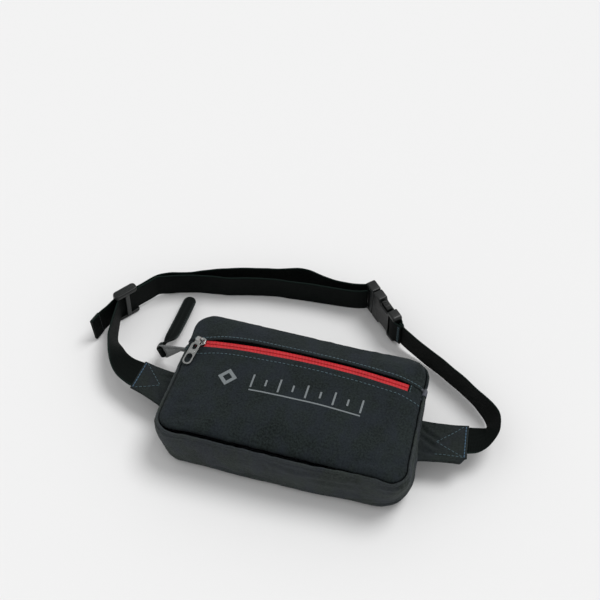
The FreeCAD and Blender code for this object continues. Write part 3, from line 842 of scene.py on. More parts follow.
def seam_height(sample):
    """Height of the front seam at the rim."""
    x, y = rim_spot(sample, 2.0)
    s = sample[4]
    return crown(x, y) - SEAM_DROP + 0.5 * ripple(s / 11, 0, 6.0) + 0.3 * ripple(s / 4.5, 0, 2.5)


SEAM_DROP = 4.3
ROLL_REACH = 5.5
EDGE = [Vector((*rim_spot(p, tuck(p)), 0.0)) for p in RIM[:-1]]
EDGE_TREE = KDTree(len(EDGE))
for index, spot in enumerate(EDGE):
    EDGE_TREE.insert(spot, index)
EDGE_TREE.balance()


def inset(x, y):
    """Distance from the front panels' sewn edge inwards, 0 outside it."""
    here = Vector((x, y, 0.0))
    _, index, best = EDGE_TREE.find(here)
    for other in (index - 1, (index + 1) % len(EDGE)):
        a, b = EDGE[index], EDGE[other]
        t = min(1.0, max(0.0, (here - a).dot(b - a) / (b - a).length_squared))
        best = min(best, (a.lerp(b, t) - here).length)
    return best


def roll(d):
    """Drop of the front cloth as it rolls down into its seam."""
    t = 1 - min(1.0, d / ROLL_REACH)
    return SEAM_DROP * (math.sqrt(max(0.0, 1 - t * t)) - 1)


FRONT_FOLDS = (
    ([(97, -40), (84, -46), (66, -44)], 0.9, 3.2),
    ([(88, -53), (78, -49), (60, -50)], 0.8, 2.6),
    ([(-99, -28), (-88, -34), (-74, -33)], 0.7, 3.0),
    ([(-92, -48), (-80, -43), (-62, -45)], 0.6, 3.5),
    ([(96, 8), (84, 3), (70, 5)], 0.45, 3.5),
    ([(-98, 6), (-86, 9), (-66, 4)], 0.5, 4.0),
    ([(40, -50), (8, -47), (-30, -50)], 0.5, 4.5),
)


def front_height(x, y):
    """Height of the front cloth, with its soft unevenness and the roll down into the seam."""
    d = inset(x, y)
    calm = smooth(0, 5, d)
    z = crown(x, y) + roll(d) - 0.7 * math.exp(-d / 9.0) * calm
    z += calm * (
        0.55 * ripple(x / 38, y / 27, 3.1) + 0.25 * ripple(x / 13, y / 11, 7.7)
        + 0.07 * ripple(x / 4, y / 4, 2.2)
    )
    z += 0.75 * math.exp(-((d - 3.2) / 2.4) ** 2) * ripple(x / 5.5, y / 5.5, 1.3)
    for path, depth, width in FRONT_FOLDS:
        z += calm * fold(x, y, path, depth, width)
    return z


def lower_edge(x):
    """Y of the lower panel's folded edge along the pocket zip."""
    return 25.8 + 0.2 * ripple(x / 25, 0, 5.0) - 0.5 * smooth(80, 100, abs(x))


def upper_edge(x):
    """Y of the upper panel's folded edge, which stands off the zip in the middle."""
    ends = smooth(-66, -98, x) + smooth(78, 99, x)
    return 34.6 + 1.0 * math.exp(-((x + 52) / 22) ** 2) - 2.6 * ends + 0.25 * ripple(x / 22, 0, 9.0)


def welt_lift(x, gap):
    """How far the upper panel stands proud of the zip, near its folded edge."""
    return (1.9 - 1.0 * smooth(70, 100, abs(x))) * math.exp(-max(0.0, gap) / 7.0)


def lower_front(x, y):
    return front_height(x, y) + 0.3 * math.exp(-max(0.0, lower_edge(x) - y) / 3.0)


def upper_front(x, y):
    return front_height(x, y) + welt_lift(x, y - upper_edge(x))


def walk(points, step):
    """Points evenly along a polyline, about step apart."""
    marks = [0.0]
    for a, b in zip(points, points[1:]):
        marks.append(marks[-1] + (b - a).length)
    count = round(marks[-1] / step)
    out, k = [], 0
    for i in range(count + 1):
        far = marks[-1] * i / count
        while k < len(points) - 2 and marks[k + 1] < far:
            k += 1
        t = (far - marks[k]) / (marks[k + 1] - marks[k])
        out.append(points[k].lerp(points[k + 1], min(1.0, max(0.0, t))))
    return out


def spread(count, ends=1.0):
    """Numbers from 0 to 1, closer together at both ends."""
    out = []
    for i in range(count + 1):
        t = i / count
        out.append(t + ends * (0.5 - 0.5 * math.cos(math.pi * t) - t))
    return out


FRONT_BEND = (36.0, 50.0)
SIDE_BEND = (28.0, 48.0)
CURL = [(0.35, -0.25), (0.62, -0.75), (0.55, -1.35), (0.1, -1.8), (-1.2, -2.0)]


def front_panel(name, zip_edge, height, side, rows):
    """One front panel, in rows from its sewn edge to its folded edge on the zip; side is -1 below the zip."""
    edge = [p for p in EDGE if (p.y - zip_edge(p.x)) * side > 0.3]
    if side > 0:
        start = max(range(len(edge)), key=lambda i: (edge[i] - edge[i - 1]).length)
        edge = edge[start:] + edge[:start]
    first, last = edge[0], edge[-1]
    ends = [Vector((p.x, zip_edge(p.x), 0)) for p in (first, last)]
    sewn = walk([ends[0]] + edge + [ends[1]], 1.5)
    count = len(sewn) - 1
    points, uvs = [], []
    for j in range(rows + 1):
        t = (j / rows) ** 1.7
        row = []
        for i, p in enumerate(sewn):
            u = i / count
            x = ends[0].x + (ends[1].x - ends[0].x) * (0.35 * u + 0.65 * smooth(0, 1, u))
            x = x * t + p.x * (1 - t)
            y = zip_edge(x) * t + p.y * (1 - t)
            row.append((x, y, height(x, y)))
        points.append(row)
        uvs.append([(x, y) for x, y, z in row])
    for out, drop in CURL:
        points.append([(x, y - side * out, z + drop) for x, y, z in points[rows]])
        uvs.append([(x, y - side * out) for x, y, z in points[rows]])
    panel = grid(name, points, uvs, FRONT, extra=LINING)
    if sum(face.normal.z for face in panel.data.polygons) < 0:
        panel.data.flip_normals()
    return settle(panel, len(points), count + 1, 1, len(CURL) + 3, 2, 0.004, 0.6, 1.3)


def build_front():
    """The two front panels, one on each side of the zip, and their stitching."""
    lower = thicken(front_panel("front_lower_cloth", lower_edge, lower_front, -1, 80), 0.9, lined=True)
    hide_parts("front_lower_panel")
    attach(lower, "bag")
    upper = thicken(front_panel("front_upper_cloth", upper_edge, upper_front, 1, 36), 0.9, lined=True)
    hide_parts("front_upper_panel")
    flap(upper, *FRONT_BEND)

    def row(edge, on_cloth, x0, x1):
        line = []
        x = x0
        while x <= x1:
            z, normal = on_cloth(x, edge(x))
            if z is not None:
                line.append(((x, edge(x), z), normal))
            x += 1.5
        return line

    upper_row = row(lambda x: upper_edge(x) + 2.1, over(upper), -98.5, 98.5)
    flap(stitches("upper_topstitch", [upper_row], THREAD, 2.6, 0.7, 0.85, 0.5), *FRONT_BEND)
    on_cloth = over(lower)
    lower_row = row(
        lambda x: lower_edge(x) - 5.2 - 2.6 * smooth(-68, -96, x) - 3.0 * smooth(78, 100, x), on_cloth,
        -99.0, 100.0,
    )
    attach(stitches("lower_topstitch", [lower_row], THREAD, 2.4, 1.2, 0.75, 0.45), "bag")
    return on_cloth


def flap(obj, start, end):
    """Bakes the placement of a piece between the bag and the part of it that opens. Its start and end along Y
    are not used.
    """
    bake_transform(obj)
    return obj


# ---------------------------------------------------------------- pocket zip

ZIP_START = -96.0
ZIP_END = 87.0


def zip_height(x, y):
    return crown(x, y) + roll(inset(x, y)) + 0.2 * ripple(x / 30, 0, 4.0)


def build_front_zip():
    """Reverse-coil pocket zip: black tape with two flat red bands and a joint line between them."""
    rows, uvs = [], []
    for y, drop in (
        (23.5, 1.4), (25.0, 1.2), (27.0, 1.15), (29.2, 1.15), (31.5, 1.15), (32.6, 1.9), (34.0, 2.5),
        (36.5, 2.0), (38.5, 1.6),
    ):
        xs = [-102.6 + 199.6 * i / 150 for i in range(151)]
        rows.append([(x, y, zip_height(x, y) - drop) for x in xs])
        uvs.append([(x, y) for x in xs])
    tape = thicken(grid("front_zip_tape", rows, uvs, BLACK_TAPE), 0.4)
    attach(tape, "bag")
    profile = [
        (0.0, -0.95), (0.05, -0.45), (0.3, -0.16), (0.9, 0.0), (1.8, 0.06), (2.6, 0.0), (3.05, -0.2),
        (3.2, -0.5), (3.2, -1.0),
    ]
    for name, sign in (("front_zip_lower_band", -1), ("front_zip_upper_band", 1)):
        rows, uvs = [], []
        count = 1170
        for out, drop in profile:
            line, flat = [], []
            for i in range(count + 1):
                x = ZIP_START + (ZIP_END - ZIP_START) * i / count
                tooth = 0.17 * math.sin(
                    TAU * (x + sign * 0.3 * out) / 1.25
                ) * smooth(0.0, 0.5, out) * smooth(3.2, 2.6, out)
                y = ZIP_Y + sign * (0.14 + out)
                line.append((x, y, zip_height(x, y) + drop - 0.15 + tooth))
                flat.append((x, sign * out))
            rows.append(line)
            uvs.append(flat)
        band = grid(name, rows, uvs, RED_COIL, flip=sign < 0)
        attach(band, "bag")
        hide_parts("front_zip_lower_tape" if sign < 0 else "front_zip_upper_tape")
    rows, uvs = [], []
    for j in range(13):
        t = j / 12
        line, flat = [], []
        for i in range(19):
            x = 87.6 + (100.4 - 87.6) * i / 18
            y = 24.6 + 10.2 * t - 0.12 * (x - 87) * (1 - t)
            dip = 0.5 - 0.25 * math.sin(math.pi * t) + 0.05 * (x - 87.6) + fold(
                x, y, [(87.5, 33.5), (92, 30), (97.5, 29)], 0.5, 1.2
            )
            edge = 0.5 * math.exp(-(x - 87.6) / 0.35)
            line.append((x, y, zip_height(x, y) - dip - edge + 0.35))
            flat.append((x, y))
        rows.append(line)
        uvs.append(flat)
    cover = thicken(grid("zip_end_cover", rows, uvs, FRONT), 0.8)
    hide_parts("front_zip_stop")
    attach(cover, "bag")
    rows, uvs = [], []
    for j in range(13):
        t = j / 12
        xs = [-98.3 - 5.0 * i / 14 for i in range(15)]
        y = 24.2 + 9.6 * t
        rows.append([(x, y, zip_height(x, y) - 0.35 - 0.6 * math.exp((x + 98.3) / 0.35)) for x in xs])
        uvs.append([(x, y) for x in xs])
    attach(thicken(grid("zip_start_cover", rows, uvs, FRONT, flip=True), 0.7), "bag")
    line = [((88.9, y, zip_height(88.9, y) + 0.05), (0.1, 0, 1)) for y in (25.4, 27, 29, 31, 32.6)]
    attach(stitches("zip_end_stitch", [line], THREAD, 1.9, 0.6), "bag")


# ---------------------------------------------------------------- walls

LIP = [
    (-1.4, 0.1), (-0.2, 0.4), (0.9, 0.25), (1.6, -0.35), (1.75, -1.0), (1.3, -1.6), (0.3, -2.0),
    (-1.2, -2.3), (-2.8, -2.6),
]
TUCKED = [
    (-1.4, -0.3), (-0.9, -0.7), (-0.5, -1.1), (-0.2, -1.5), (0.0, -1.9), (0.0, -2.3), (-0.2, -2.6),
    (-0.8, -2.8), (-1.6, -3.0),
]
FOOT = [(1.6, -6.6), (0.7, -5.6), (0.35, -4.6), (0.5, -3.5), (1.3, -2.2), (3.0, -0.9)]


GUSSET_FOLDS = (
    ([(118, 10), (98, 14), (80, 23), (66, 34), (56, 43)], 2.3, 1.7),
    ([(106, 3), (90, 8), (74, 17), (60, 26)], 1.5, 1.7),
    ([(66, 45), (78, 41), (96, 42), (112, 40)], 1.7, 1.4),
    ([(64, 46), (71, 38), (76, 31)], 1.2, 1.2),
    ([(54, 40), (62, 30), (66, 20)], 1.0, 1.6),
    ([(285, 44), (300, 39), (318, 42)], 1.5, 1.5),
    ([(262, 47), (280, 43), (292, 36)], 1.4, 1.3),
    ([(300, 8), (318, 16), (334, 20)], 1.3, 1.9),
    ([(326, 40), (334, 30), (338, 20)], 1.6, 1.4),
    ([(150, 40), (178, 37), (206, 41)], 0.8, 2.0),
    ([(120, 34), (140, 30), (168, 32)], 0.7, 2.4),
    ([(196, 14), (226, 10), (258, 13)], 0.8, 2.6),
    ([(30, 44), (36, 30), (33, 14)], 0.9, 1.8),
)


def wall_point(sample, level, out, belly, rough):
    """A point of the wall pushed out by its belly, its rim and its folds.

    A level below 1 is a share of the seam's height; above that it counts through the points of the lip.
    """
    x, y, nx, ny, s = sample
    seam = seam_height(sample)
    top = min(level, 1.0)
    z = seam * top
    if level > 1.0:
        k = round(level - 2)
        share = smooth(0.35, 0.9, nx) if y > JOIN_Y else 1.0
        if y > JOIN_Y and nx < 0:
            share = smooth(JOIN_Y + 3, JOIN_Y, y)
        rise, out = (a * share + b * (1 - share) for a, b in zip(LIP[k], TUCKED[k]))
        z = seam + rise
        top = 1.0
    if level < 0:
        z = -level
        top = z / seam
    high = smooth(0.66, 1.0, top)
    low = smooth(0.05, 0.9, top)
    ramp = low + (high - low) * smooth(JOIN_Y - 24, JOIN_Y, y)
    foot = 2.8 * smooth(0.3, 0.9, -ny) * smooth(70, 20, x) * smooth(-100, -82, x)
    push = out + foot + bulge(sample) * ramp + belly * math.sin(math.pi * min(1.0, top)) ** 0.8
    calm = (smooth(0, 0.2, top) * smooth(1.02, 0.93, top) * 0.85 + 0.15) * (0.3 if level > 1 else 1.0)
    push += rough * calm * (
        0.5 * ripple(s / 26, z / 16, 2.0) + 0.28 * ripple(s / 9, z / 8, 6.0)
        + 0.12 * ripple(s / 3.5, z / 3, 4.0)
    )
    if rough >= 1:
        for path, depth, width in GUSSET_FOLDS:
            push += calm * fold(s, z, path, depth, width)
        if level > 1:
            push += 0.3 * ripple(s / 5, 0, 8.0)
    return (x + nx * push, y + ny * push, z)


def wall(name, samples, profile, belly, rough, material, lined=True, thick=0.9):
    """A strip of the wall through a profile of (level, distance out) pairs."""
    rows, uvs = [], []
    far = 0.0
    for level, out in profile:
        row = [wall_point(p, level, out, belly(p), rough) for p in samples]
        if rows:
            middle = len(row) // 2
            far += math.dist(row[middle], rows[-1][middle])
        rows.append(row)
        uvs.append([(p[4], far) for p in samples])
    obj = grid(name, rows, uvs, material, flip=True, extra=LINING)
    if rough >= 1:
        settle(obj, len(rows), len(samples), len(FOOT) + 1, len(LIP) + 1, 6, 0.012, 0.5, 1.6)
    return thicken(obj, thick, lined=lined)


def steps(low, high, count, out=0.0):
    return [(low + (high - low) * i / count, out) for i in range(count + 1)]


def at_heights(pairs):
    """Marks profile points as fixed heights rather than shares of the seam's."""
    return [(-z, out) for z, out in pairs]


LIP_LEVELS = [(2.0 + k, 0.0) for k in range(len(LIP))]


def lower_belly(p):
    return 1.9 * smooth(30, -20, p[1]) + 0.2


def upper_belly(p):
    return 0.5


def build_walls():
    """The gusset: canvas below the joins, and above them two strips with the main zip between."""
    gusset = wall(
        "gusset_canvas", LOWER_RIM, at_heights(FOOT) + steps(0.11, 0.955, 34) + LIP_LEVELS, lower_belly,
        1.0, CANVAS,
    )
    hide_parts("bottom_gusset")
    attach(gusset, "bag")
    fold_edge = [(22.5, 0.35), (22.9, 0.1), (22.9, -0.5), (22.2, -0.9)]
    back = wall(
        "top_gusset_back_cloth", UPPER_RIM, at_heights(FOOT + steps(5.0, 21.8, 12) + fold_edge),
        upper_belly, 0.4, FRONT,
    )
    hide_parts("top_gusset_back")
    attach(back, "bag")
    turned = [(29.9, -0.9), (29.1, -0.5), (29.1, 0.1), (29.6, 0.35), (30.4, 0.3)]
    front = wall(
        "top_gusset_front_cloth", UPPER_RIM, at_heights(turned) + steps(0.75, 0.955, 10) + LIP_LEVELS,
        upper_belly, 0.4, FRONT,
    )
    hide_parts("top_gusset_front")
    flap(front, *SIDE_BEND)

    def lines(z, out, rim):
        return [[((p[0] + p[2] * out, p[1] + p[3] * out, z), (p[2], p[3], 0)) for p in rim]]

    inner = [p for p in UPPER_RIM if p[1] > JOIN_Y + 1.5]
    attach(stitches("back_gusset_topstitch", lines(20.2, 0.85, inner), DARK_THREAD, 2.5, 1.0), "bag")
    flap(stitches("front_gusset_topstitch", lines(32.2, 0.75, inner), DARK_THREAD, 2.5, 1.0), *SIDE_BEND)

    bands = (
        ("main_zip_lower_half", "main_zip_back_tape", -1), ("main_zip_upper_half", "main_zip_front_tape", 1)
    )
    for name, node, sign in bands:
        zs = [
            (4.4, -1.0), (3.0, -1.0), (2.7, -0.95), (2.3, -0.5), (1.7, -0.1), (1.0, 0.02), (0.4, -0.1),
            (0.12, -0.5), (0.1, -1.3),
        ]
        rows, uvs = [], []
        for k, (dz, out) in enumerate(zs):
            line, flat = [], []
            for a, b in zip(UPPER_RIM, UPPER_RIM[1:]):
                for j in range(6):
                    p = [q + (r - q) * j / 6 for q, r in zip(a, b)]
                    tooth = 0.14 * math.sin(
                        TAU * p[4] / 1.5 + (0 if sign > 0 else math.pi)
                    ) * (1 if 2 < k < 8 else 0)
                    push = out + tooth + 0.35
                    line.append((p[0] + p[2] * push, p[1] + p[3] * push, MAIN_ZIP_Z + sign * dz))
                    flat.append((p[4], dz))
            rows.append(line)
            uvs.append(flat)
        half = grid(name, rows, uvs, BLACK_COIL, flip=sign > 0)
        half = thicken(half, 0.35)
        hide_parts(node)
        if sign < 0:
            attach(half, "bag")
        else:
            flap(half, *SIDE_BEND)


def build_joins():
    """The two sewn joins where the top gusset meets the canvas one: a doubled band over each."""
    levels = steps(0.55, 0.955, 14) + LIP_LEVELS[:7]
    for name, samples in (("right_join", LOWER_RIM[:5]), ("left_join", LOWER_RIM[-5:])):
        sign = 1 if samples[0][0] > 0 else -1
        samples = [
            tuple(p + (q - p) * j / 3 for p, q in zip(a, b))
            for a, b in zip(samples, samples[1:]) for j in range(3)
        ]
        count = len(samples) - 1
        rows, uvs = [], []
        for k, sample in enumerate(samples):
            lift = 0.75 * (1 - (2 * k / count - 1) ** 4) - 0.05
            line, flat = [], []
            for level, out in levels:
                x, y, z = wall_point(sample, level, out, lower_belly(sample), 1.0)
                line.append((x + sign * lift, y, z + (0.5 * lift if level > 2.5 else 0.0)))
                flat.append((sample[4], z + 8.0))
            rows.append(line)
            uvs.append(flat)
        band = grid(name + "_band", rows, uvs, CANVAS)
        if sum(face.normal.x for face in band.data.polygons) * sign < 0:
            band.data.flip_normals()
        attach(thicken(band, 0.6), "bag")
        lines = []
        for sample in (samples[1], samples[-2]):
            line = []
            for level, out in steps(0.58, 0.94, 8):
                x, y, z = wall_point(sample, level, out, lower_belly(sample), 1.0)
                line.append(((x + sign * 0.6, y, z), (sign, 0.06, 0)))
            lines.append(line)
        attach(stitches(name + "_stitch", lines, THREAD, 1.8, 0.8), "bag")
        over = []
        for sample in samples[2:-2:2]:
            line = []
            for k in (1, 2, 3, 4, 5):
                x, y, z = wall_point(sample, 2.0 + k, 0.0, lower_belly(sample), 1.0)
                up = (k - 1) / 4
                line.append(((x + sign * 0.6 * (1 - up), y, z + 0.45), (sign * (1 - up), 0, 0.3 + up)))
            over.append(line)
        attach(stitches(name + "_tack", over, THREAD, 1.6, 0.2, 0.5), "bag")


def reach_in(sample, t):
    """Distance inwards from the outline for a point a share t of the way to the middle."""
    return t * math.hypot(sample[0] - max(-60.0, min(60.0, sample[0])), sample[1])


def build_back():
    """Padded mesh back, its binding, the lining floor and the sheet behind the pocket."""
    def disc(name, reach, height, material, rings=26, flip=False, extra=None):
        rows, uvs = [], []
        for j in range(rings + 1):
            t = j / rings
            line, flat = [], []
            for p in RIM[:-1]:
                hub = max(-60.0, min(60.0, p[0]))
                x = hub + (p[0] + p[2] * reach - hub) * (1 - t)
                y = (p[1] + p[3] * reach) * (1 - t)
                line.append((x, y, height(x, y, reach_in(p, t))))
                flat.append((x, y))
            rows.append(line)
            uvs.append(flat)
        return grid(name, rows, uvs, material, closed=True, flip=flip, extra=extra)

    def underside(x, y, d):
        sewn = 0.9 * math.exp(-max(0.0, d - 6.0) / 2.2)
        rows = 0.0
        for place in (-22.0, 22.0):
            rows += 0.8 * math.exp(-((y - place) / 2.0) ** 2) * smooth(8, 14, d)
        return 0.12 + sewn + rows + 0.12 * (1 + ripple(x / 18, y / 18, 2.2))

    back = thicken(disc("back_mesh_cloth", -5.4, underside, BACK, extra=LINING), 1.2, lined=True)
    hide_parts("back_panel")
    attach(back, "bag")

    def padding(x, y, d):
        return 5.2 + 0.8 * smooth(4, 14, d) + 0.35 * ripple(x / 26, y / 20, 5.5)

    floor = thicken(disc("lining_floor", -3.2, padding, LINING, flip=True), 0.6)
    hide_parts("back_foam")
    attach(floor, "bag")
    rows, uvs = [], []
    for k in range(9):
        a = math.pi * k / 8
        deep = 1.2 + 1.3 * math.sin(a)
        z = 8.4 + 3.0 * math.cos(a)
        rows.append([
            (p[0] - p[2] * deep, p[1] - p[3] * deep, z + 0.1 * ripple(p[4] / 5, k, 1.0)) for p in RIM[:-1]
        ])
        uvs.append([(p[4], 3.0 * a) for p in RIM[:-1]])
    tape = grid("seam_binding", rows, uvs, BINDING, closed=True)
    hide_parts("back_binding")
    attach(tape, "bag")
    rows, uvs = [], []
    for t in spread(30, 0.5):
        y = -53.0 + 76.0 * t
        half = side_x(y) - 4.5 - 22 * smooth(-34, -60, y) ** 2
        line = [((2 * v - 1) * half, y) for v in spread(60, 0.5)]
        rows.append([(x, y, crown(x, y) - 6.2 - 0.4 * ripple(x / 24, y / 20, 6.6)) for x, y in line])
        uvs.append(line)
    sheet = thicken(grid("pocket_lining", rows, uvs, LINING), 0.5)
    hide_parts("pocket_divider")
    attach(sheet, "bag")
    line = [[((p[0] - p[2] * 9.2, p[1] - p[3] * 9.2, 0.35), (0, 0, -1)) for p in RIM]]
    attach(stitches("back_seam_stitch", line, DARK_THREAD, 2.6, 1.0, height=0.3), "bag")


# ---------------------------------------------------------------- wings

WING_REACH = 38
WING_TALL = 40
WINGS = {
    "left": {
        "ends": ((-side_x(8.5) + 1.0, 8.5), (-side_x(-30) + 1.0, -30.0), (-137.0, 13.0), (-140.5, -16.0)),
        "chamfer": 0.0,
        "folds": (
            ([(0.02, 0.10), (0.28, 0.2), (0.5, 0.25)], 0.8),
            ([(0.0, 0.55), (0.2, 0.42), (0.45, 0.36)], 0.7),
            ([(0.0, 0.9), (0.25, 0.78), (0.42, 0.6)], 1.0),
        ),
    },
    "right": {
        "ends": ((side_x(20) - 1.0, 20.0), (side_x(-20) - 1.0, -20.0), (141.0, 26.0), (146.6, -11.5)),
        "chamfer": 1.0,
        "folds": (
            ([(0.0, 0.12), (0.2, 0.32), (0.52, 0.52)], 1.4),
            ([(0.0, 0.32), (0.22, 0.5), (0.48, 0.72)], 1.3),
            ([(0.02, 0.72), (0.3, 0.8), (0.6, 0.9)], 0.8),
        ),
    },
}


def wing_point(spec, u, v):
    """Middle of the wing's thickness: u from the bag outwards, v from its upper edge to its lower one."""
    a, b, c, d = (Vector(p) for p in spec["ends"])
    p = a * (1 - u) * (1 - v) + b * (1 - u) * v + c * u * (1 - v) + d * u * v
    pull = 1.1 * math.sin(math.pi * u) * (2 * v - 1)
    side = (b - a).normalized()
    return p - side * pull


def wing_lift(spec, u, v):
    lift = 0.5 * math.sin(math.pi * u) * math.sin(math.pi * v)
    lift += 0.35 * ripple(u * 3.0, v * 3.0, 4.4) * smooth(1.0, 0.7, u)
    for path, depth in spec["folds"]:
        path = [(p * WING_REACH, q * WING_TALL) for p, q in path]
        lift += fold(u * WING_REACH, v * WING_TALL, path, depth, 1.9)
    return lift


def build_wings():
    """Doubled canvas wings with their triangle of stitching and the blue line at the webbing."""
    for side, spec in WINGS.items():
        columns, rows_count = 44, 40
        points, uvs = [], []
        loop = [(j / rows_count, 1) for j in range(rows_count + 1)]
        loop += [(v, -1) for v, _ in reversed(loop)]
        for i in range(columns + 1):
            u = i / columns
            line, flat = [], []
            for v, face in loop:
                near = min(v, 1 - v)
                rim = math.sqrt(max(0.0, 1 - (1 - min(1.0, near / 0.03)) ** 2))
                out = math.sqrt(max(0.0, 1 - (1 - min(1.0, (1 - u) / 0.035)) ** 2))
                half = 1.45 * (0.25 + 0.75 * rim) * (0.35 + 0.65 * out)
                sewn = 0.35 * math.exp(-((near - 0.075) / 0.02) ** 2) * smooth(0.05, 0.2, u)
                edge = spec["chamfer"] * 0.16 * smooth(0.86, 1.0, u) * smooth(0.82, 1.0, v)
                p = wing_point(spec, u, v - edge)
                z = WING_Z + wing_lift(spec, u, v) * smooth(0.0, 0.06, 1 - u) + face * (half - sewn * rim)
                line.append((p.x, p.y, z))
                flat.append((u * WING_REACH, v * WING_TALL))
            points.append(line)
            uvs.append(flat)
        obj = grid(side + "_wing_canvas", points, uvs, WING_CLOTH, closed=True, flip=side == "left")
        close_ends(obj)
        for face in obj.data.polygons:
            face.use_smooth = True
        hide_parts(side + "_wing")
        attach(obj, "bag")

        def line(path, lift=1.5, spec=spec):
            out = []
            for (u0, v0), (u1, v1) in zip(path, path[1:]):
                for k in range(9):
                    t = k / 8
                    u, v = u0 + (u1 - u0) * t, v0 + (v1 - v0) * t
                    p = wing_point(spec, u, v)
                    z = WING_Z + wing_lift(spec, u, v) * smooth(0.0, 0.06, 1 - u) + lift
                    out.append(((p.x, p.y, z), (0, 0, 1)))
            return out

        low = 0.84 if spec["chamfer"] else 0.95
        triangle = line([(0.9, 0.06), (0.40, 0.52), (0.9, low - 0.02)], 1.35)
        rows = [triangle, line([(0.92, low), (0.40, low - 0.02)], 1.35)] if side == "right" else [triangle]
        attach(stitches(side + "_wing_triangle", rows, THREAD, 2.3, 1.1, 0.62), "bag")
        rows = [line([(0.945, 0.05), (0.945, low)], 1.3)]
        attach(stitches(side + "_wing_blue_line", rows, BLUE_THREAD, 2.4, 0.5, 0.9, 0.55), "bag")


# ---------------------------------------------------------------- webbing

def web(name, edges, material=None, thick=WEB_THICK, step=1.6, round_end=0.0, ripple_size=0.25, quiet=0.0):
    """Flat woven webbing through pairs of edge points, with soft edges and closed ends.

    It lies without ripple for its first quiet millimetres.
    """
    line = catmull([[*low, *high] for low, high in edges], step)
    lows = [Vector(p[:3]) for p in line]
    highs = [Vector(p[3:6]) for p in line]
    middles = [(a + b) / 2 for a, b in zip(lows, highs)]
    marks = [0.0]
    for a, b in zip(middles, middles[1:]):
        marks.append(marks[-1] + (b - a).length)
    across = [0.0, 0.012, 0.035, 0.075, 0.14, 0.25, 0.375, 0.5, 0.625, 0.75, 0.86, 0.925, 0.965, 0.988, 1.0]
    shape = [0.30, 0.72, 1.0, 1.06, 0.97, 0.95, 0.95, 0.95, 0.95, 0.95, 0.97, 1.06, 1.0, 0.72, 0.30]
    rows, uvs = [], []
    last = len(line) - 1
    for i in range(last + 1):
        travel = (middles[min(i + 1, last)] - middles[max(i - 1, 0)]).normalized()
        width = highs[i] - lows[i]
        normal = width.cross(travel).normalized()
        squeeze = 1.0
        if round_end and marks[-1] - marks[i] < round_end:
            squeeze = math.sqrt(max(0.0, 1 - (1 - (marks[-1] - marks[i]) / round_end) ** 2)) * 0.98 + 0.02
        row, flat = [], []
        for face, order in ((1, range(len(across))), (-1, range(len(across) - 1, -1, -1))):
            for k in order:
                t = 0.5 + (across[k] - 0.5) * squeeze
                wave = ripple_size * ripple(marks[i] / 14, across[k] * 2.0, len(name) * 1.7)
                wave = wave * smooth(quiet, quiet + 12, marks[i]) * smooth(0, 12, marks[-1] - marks[i])
                p = lows[i] + width * t + normal * (face * thick / 2 * shape[k] + wave)
                row.append(tuple(p))
                flat.append((marks[i], across[k] * width.length))
        rows.append(row)
        uvs.append(flat)
    obj = grid(name, rows, uvs, material or WEBBING, closed=True)
    close_ends(obj)
    for face in obj.data.polygons:
        face.use_smooth = len(face.vertices) == 4
    return obj


def stand(points, width=WEB_WIDTH):
    """Edge pairs of webbing that stands on its edge through (x, y, base) points."""
    return [((x, y, z), (x, y, z + width)) for x, y, z in points]


GUIDE = (-177.5, 73.0, 0.6, 0.8)
LAYER = 0.85


def guide_point(along, out):
    x, y, dx, dy = GUIDE
    return x + dx * along - dy * out, y + dy * along + dx * out


def guide_station(along, out, base=3.3):
    return (*guide_point(along, out), base)


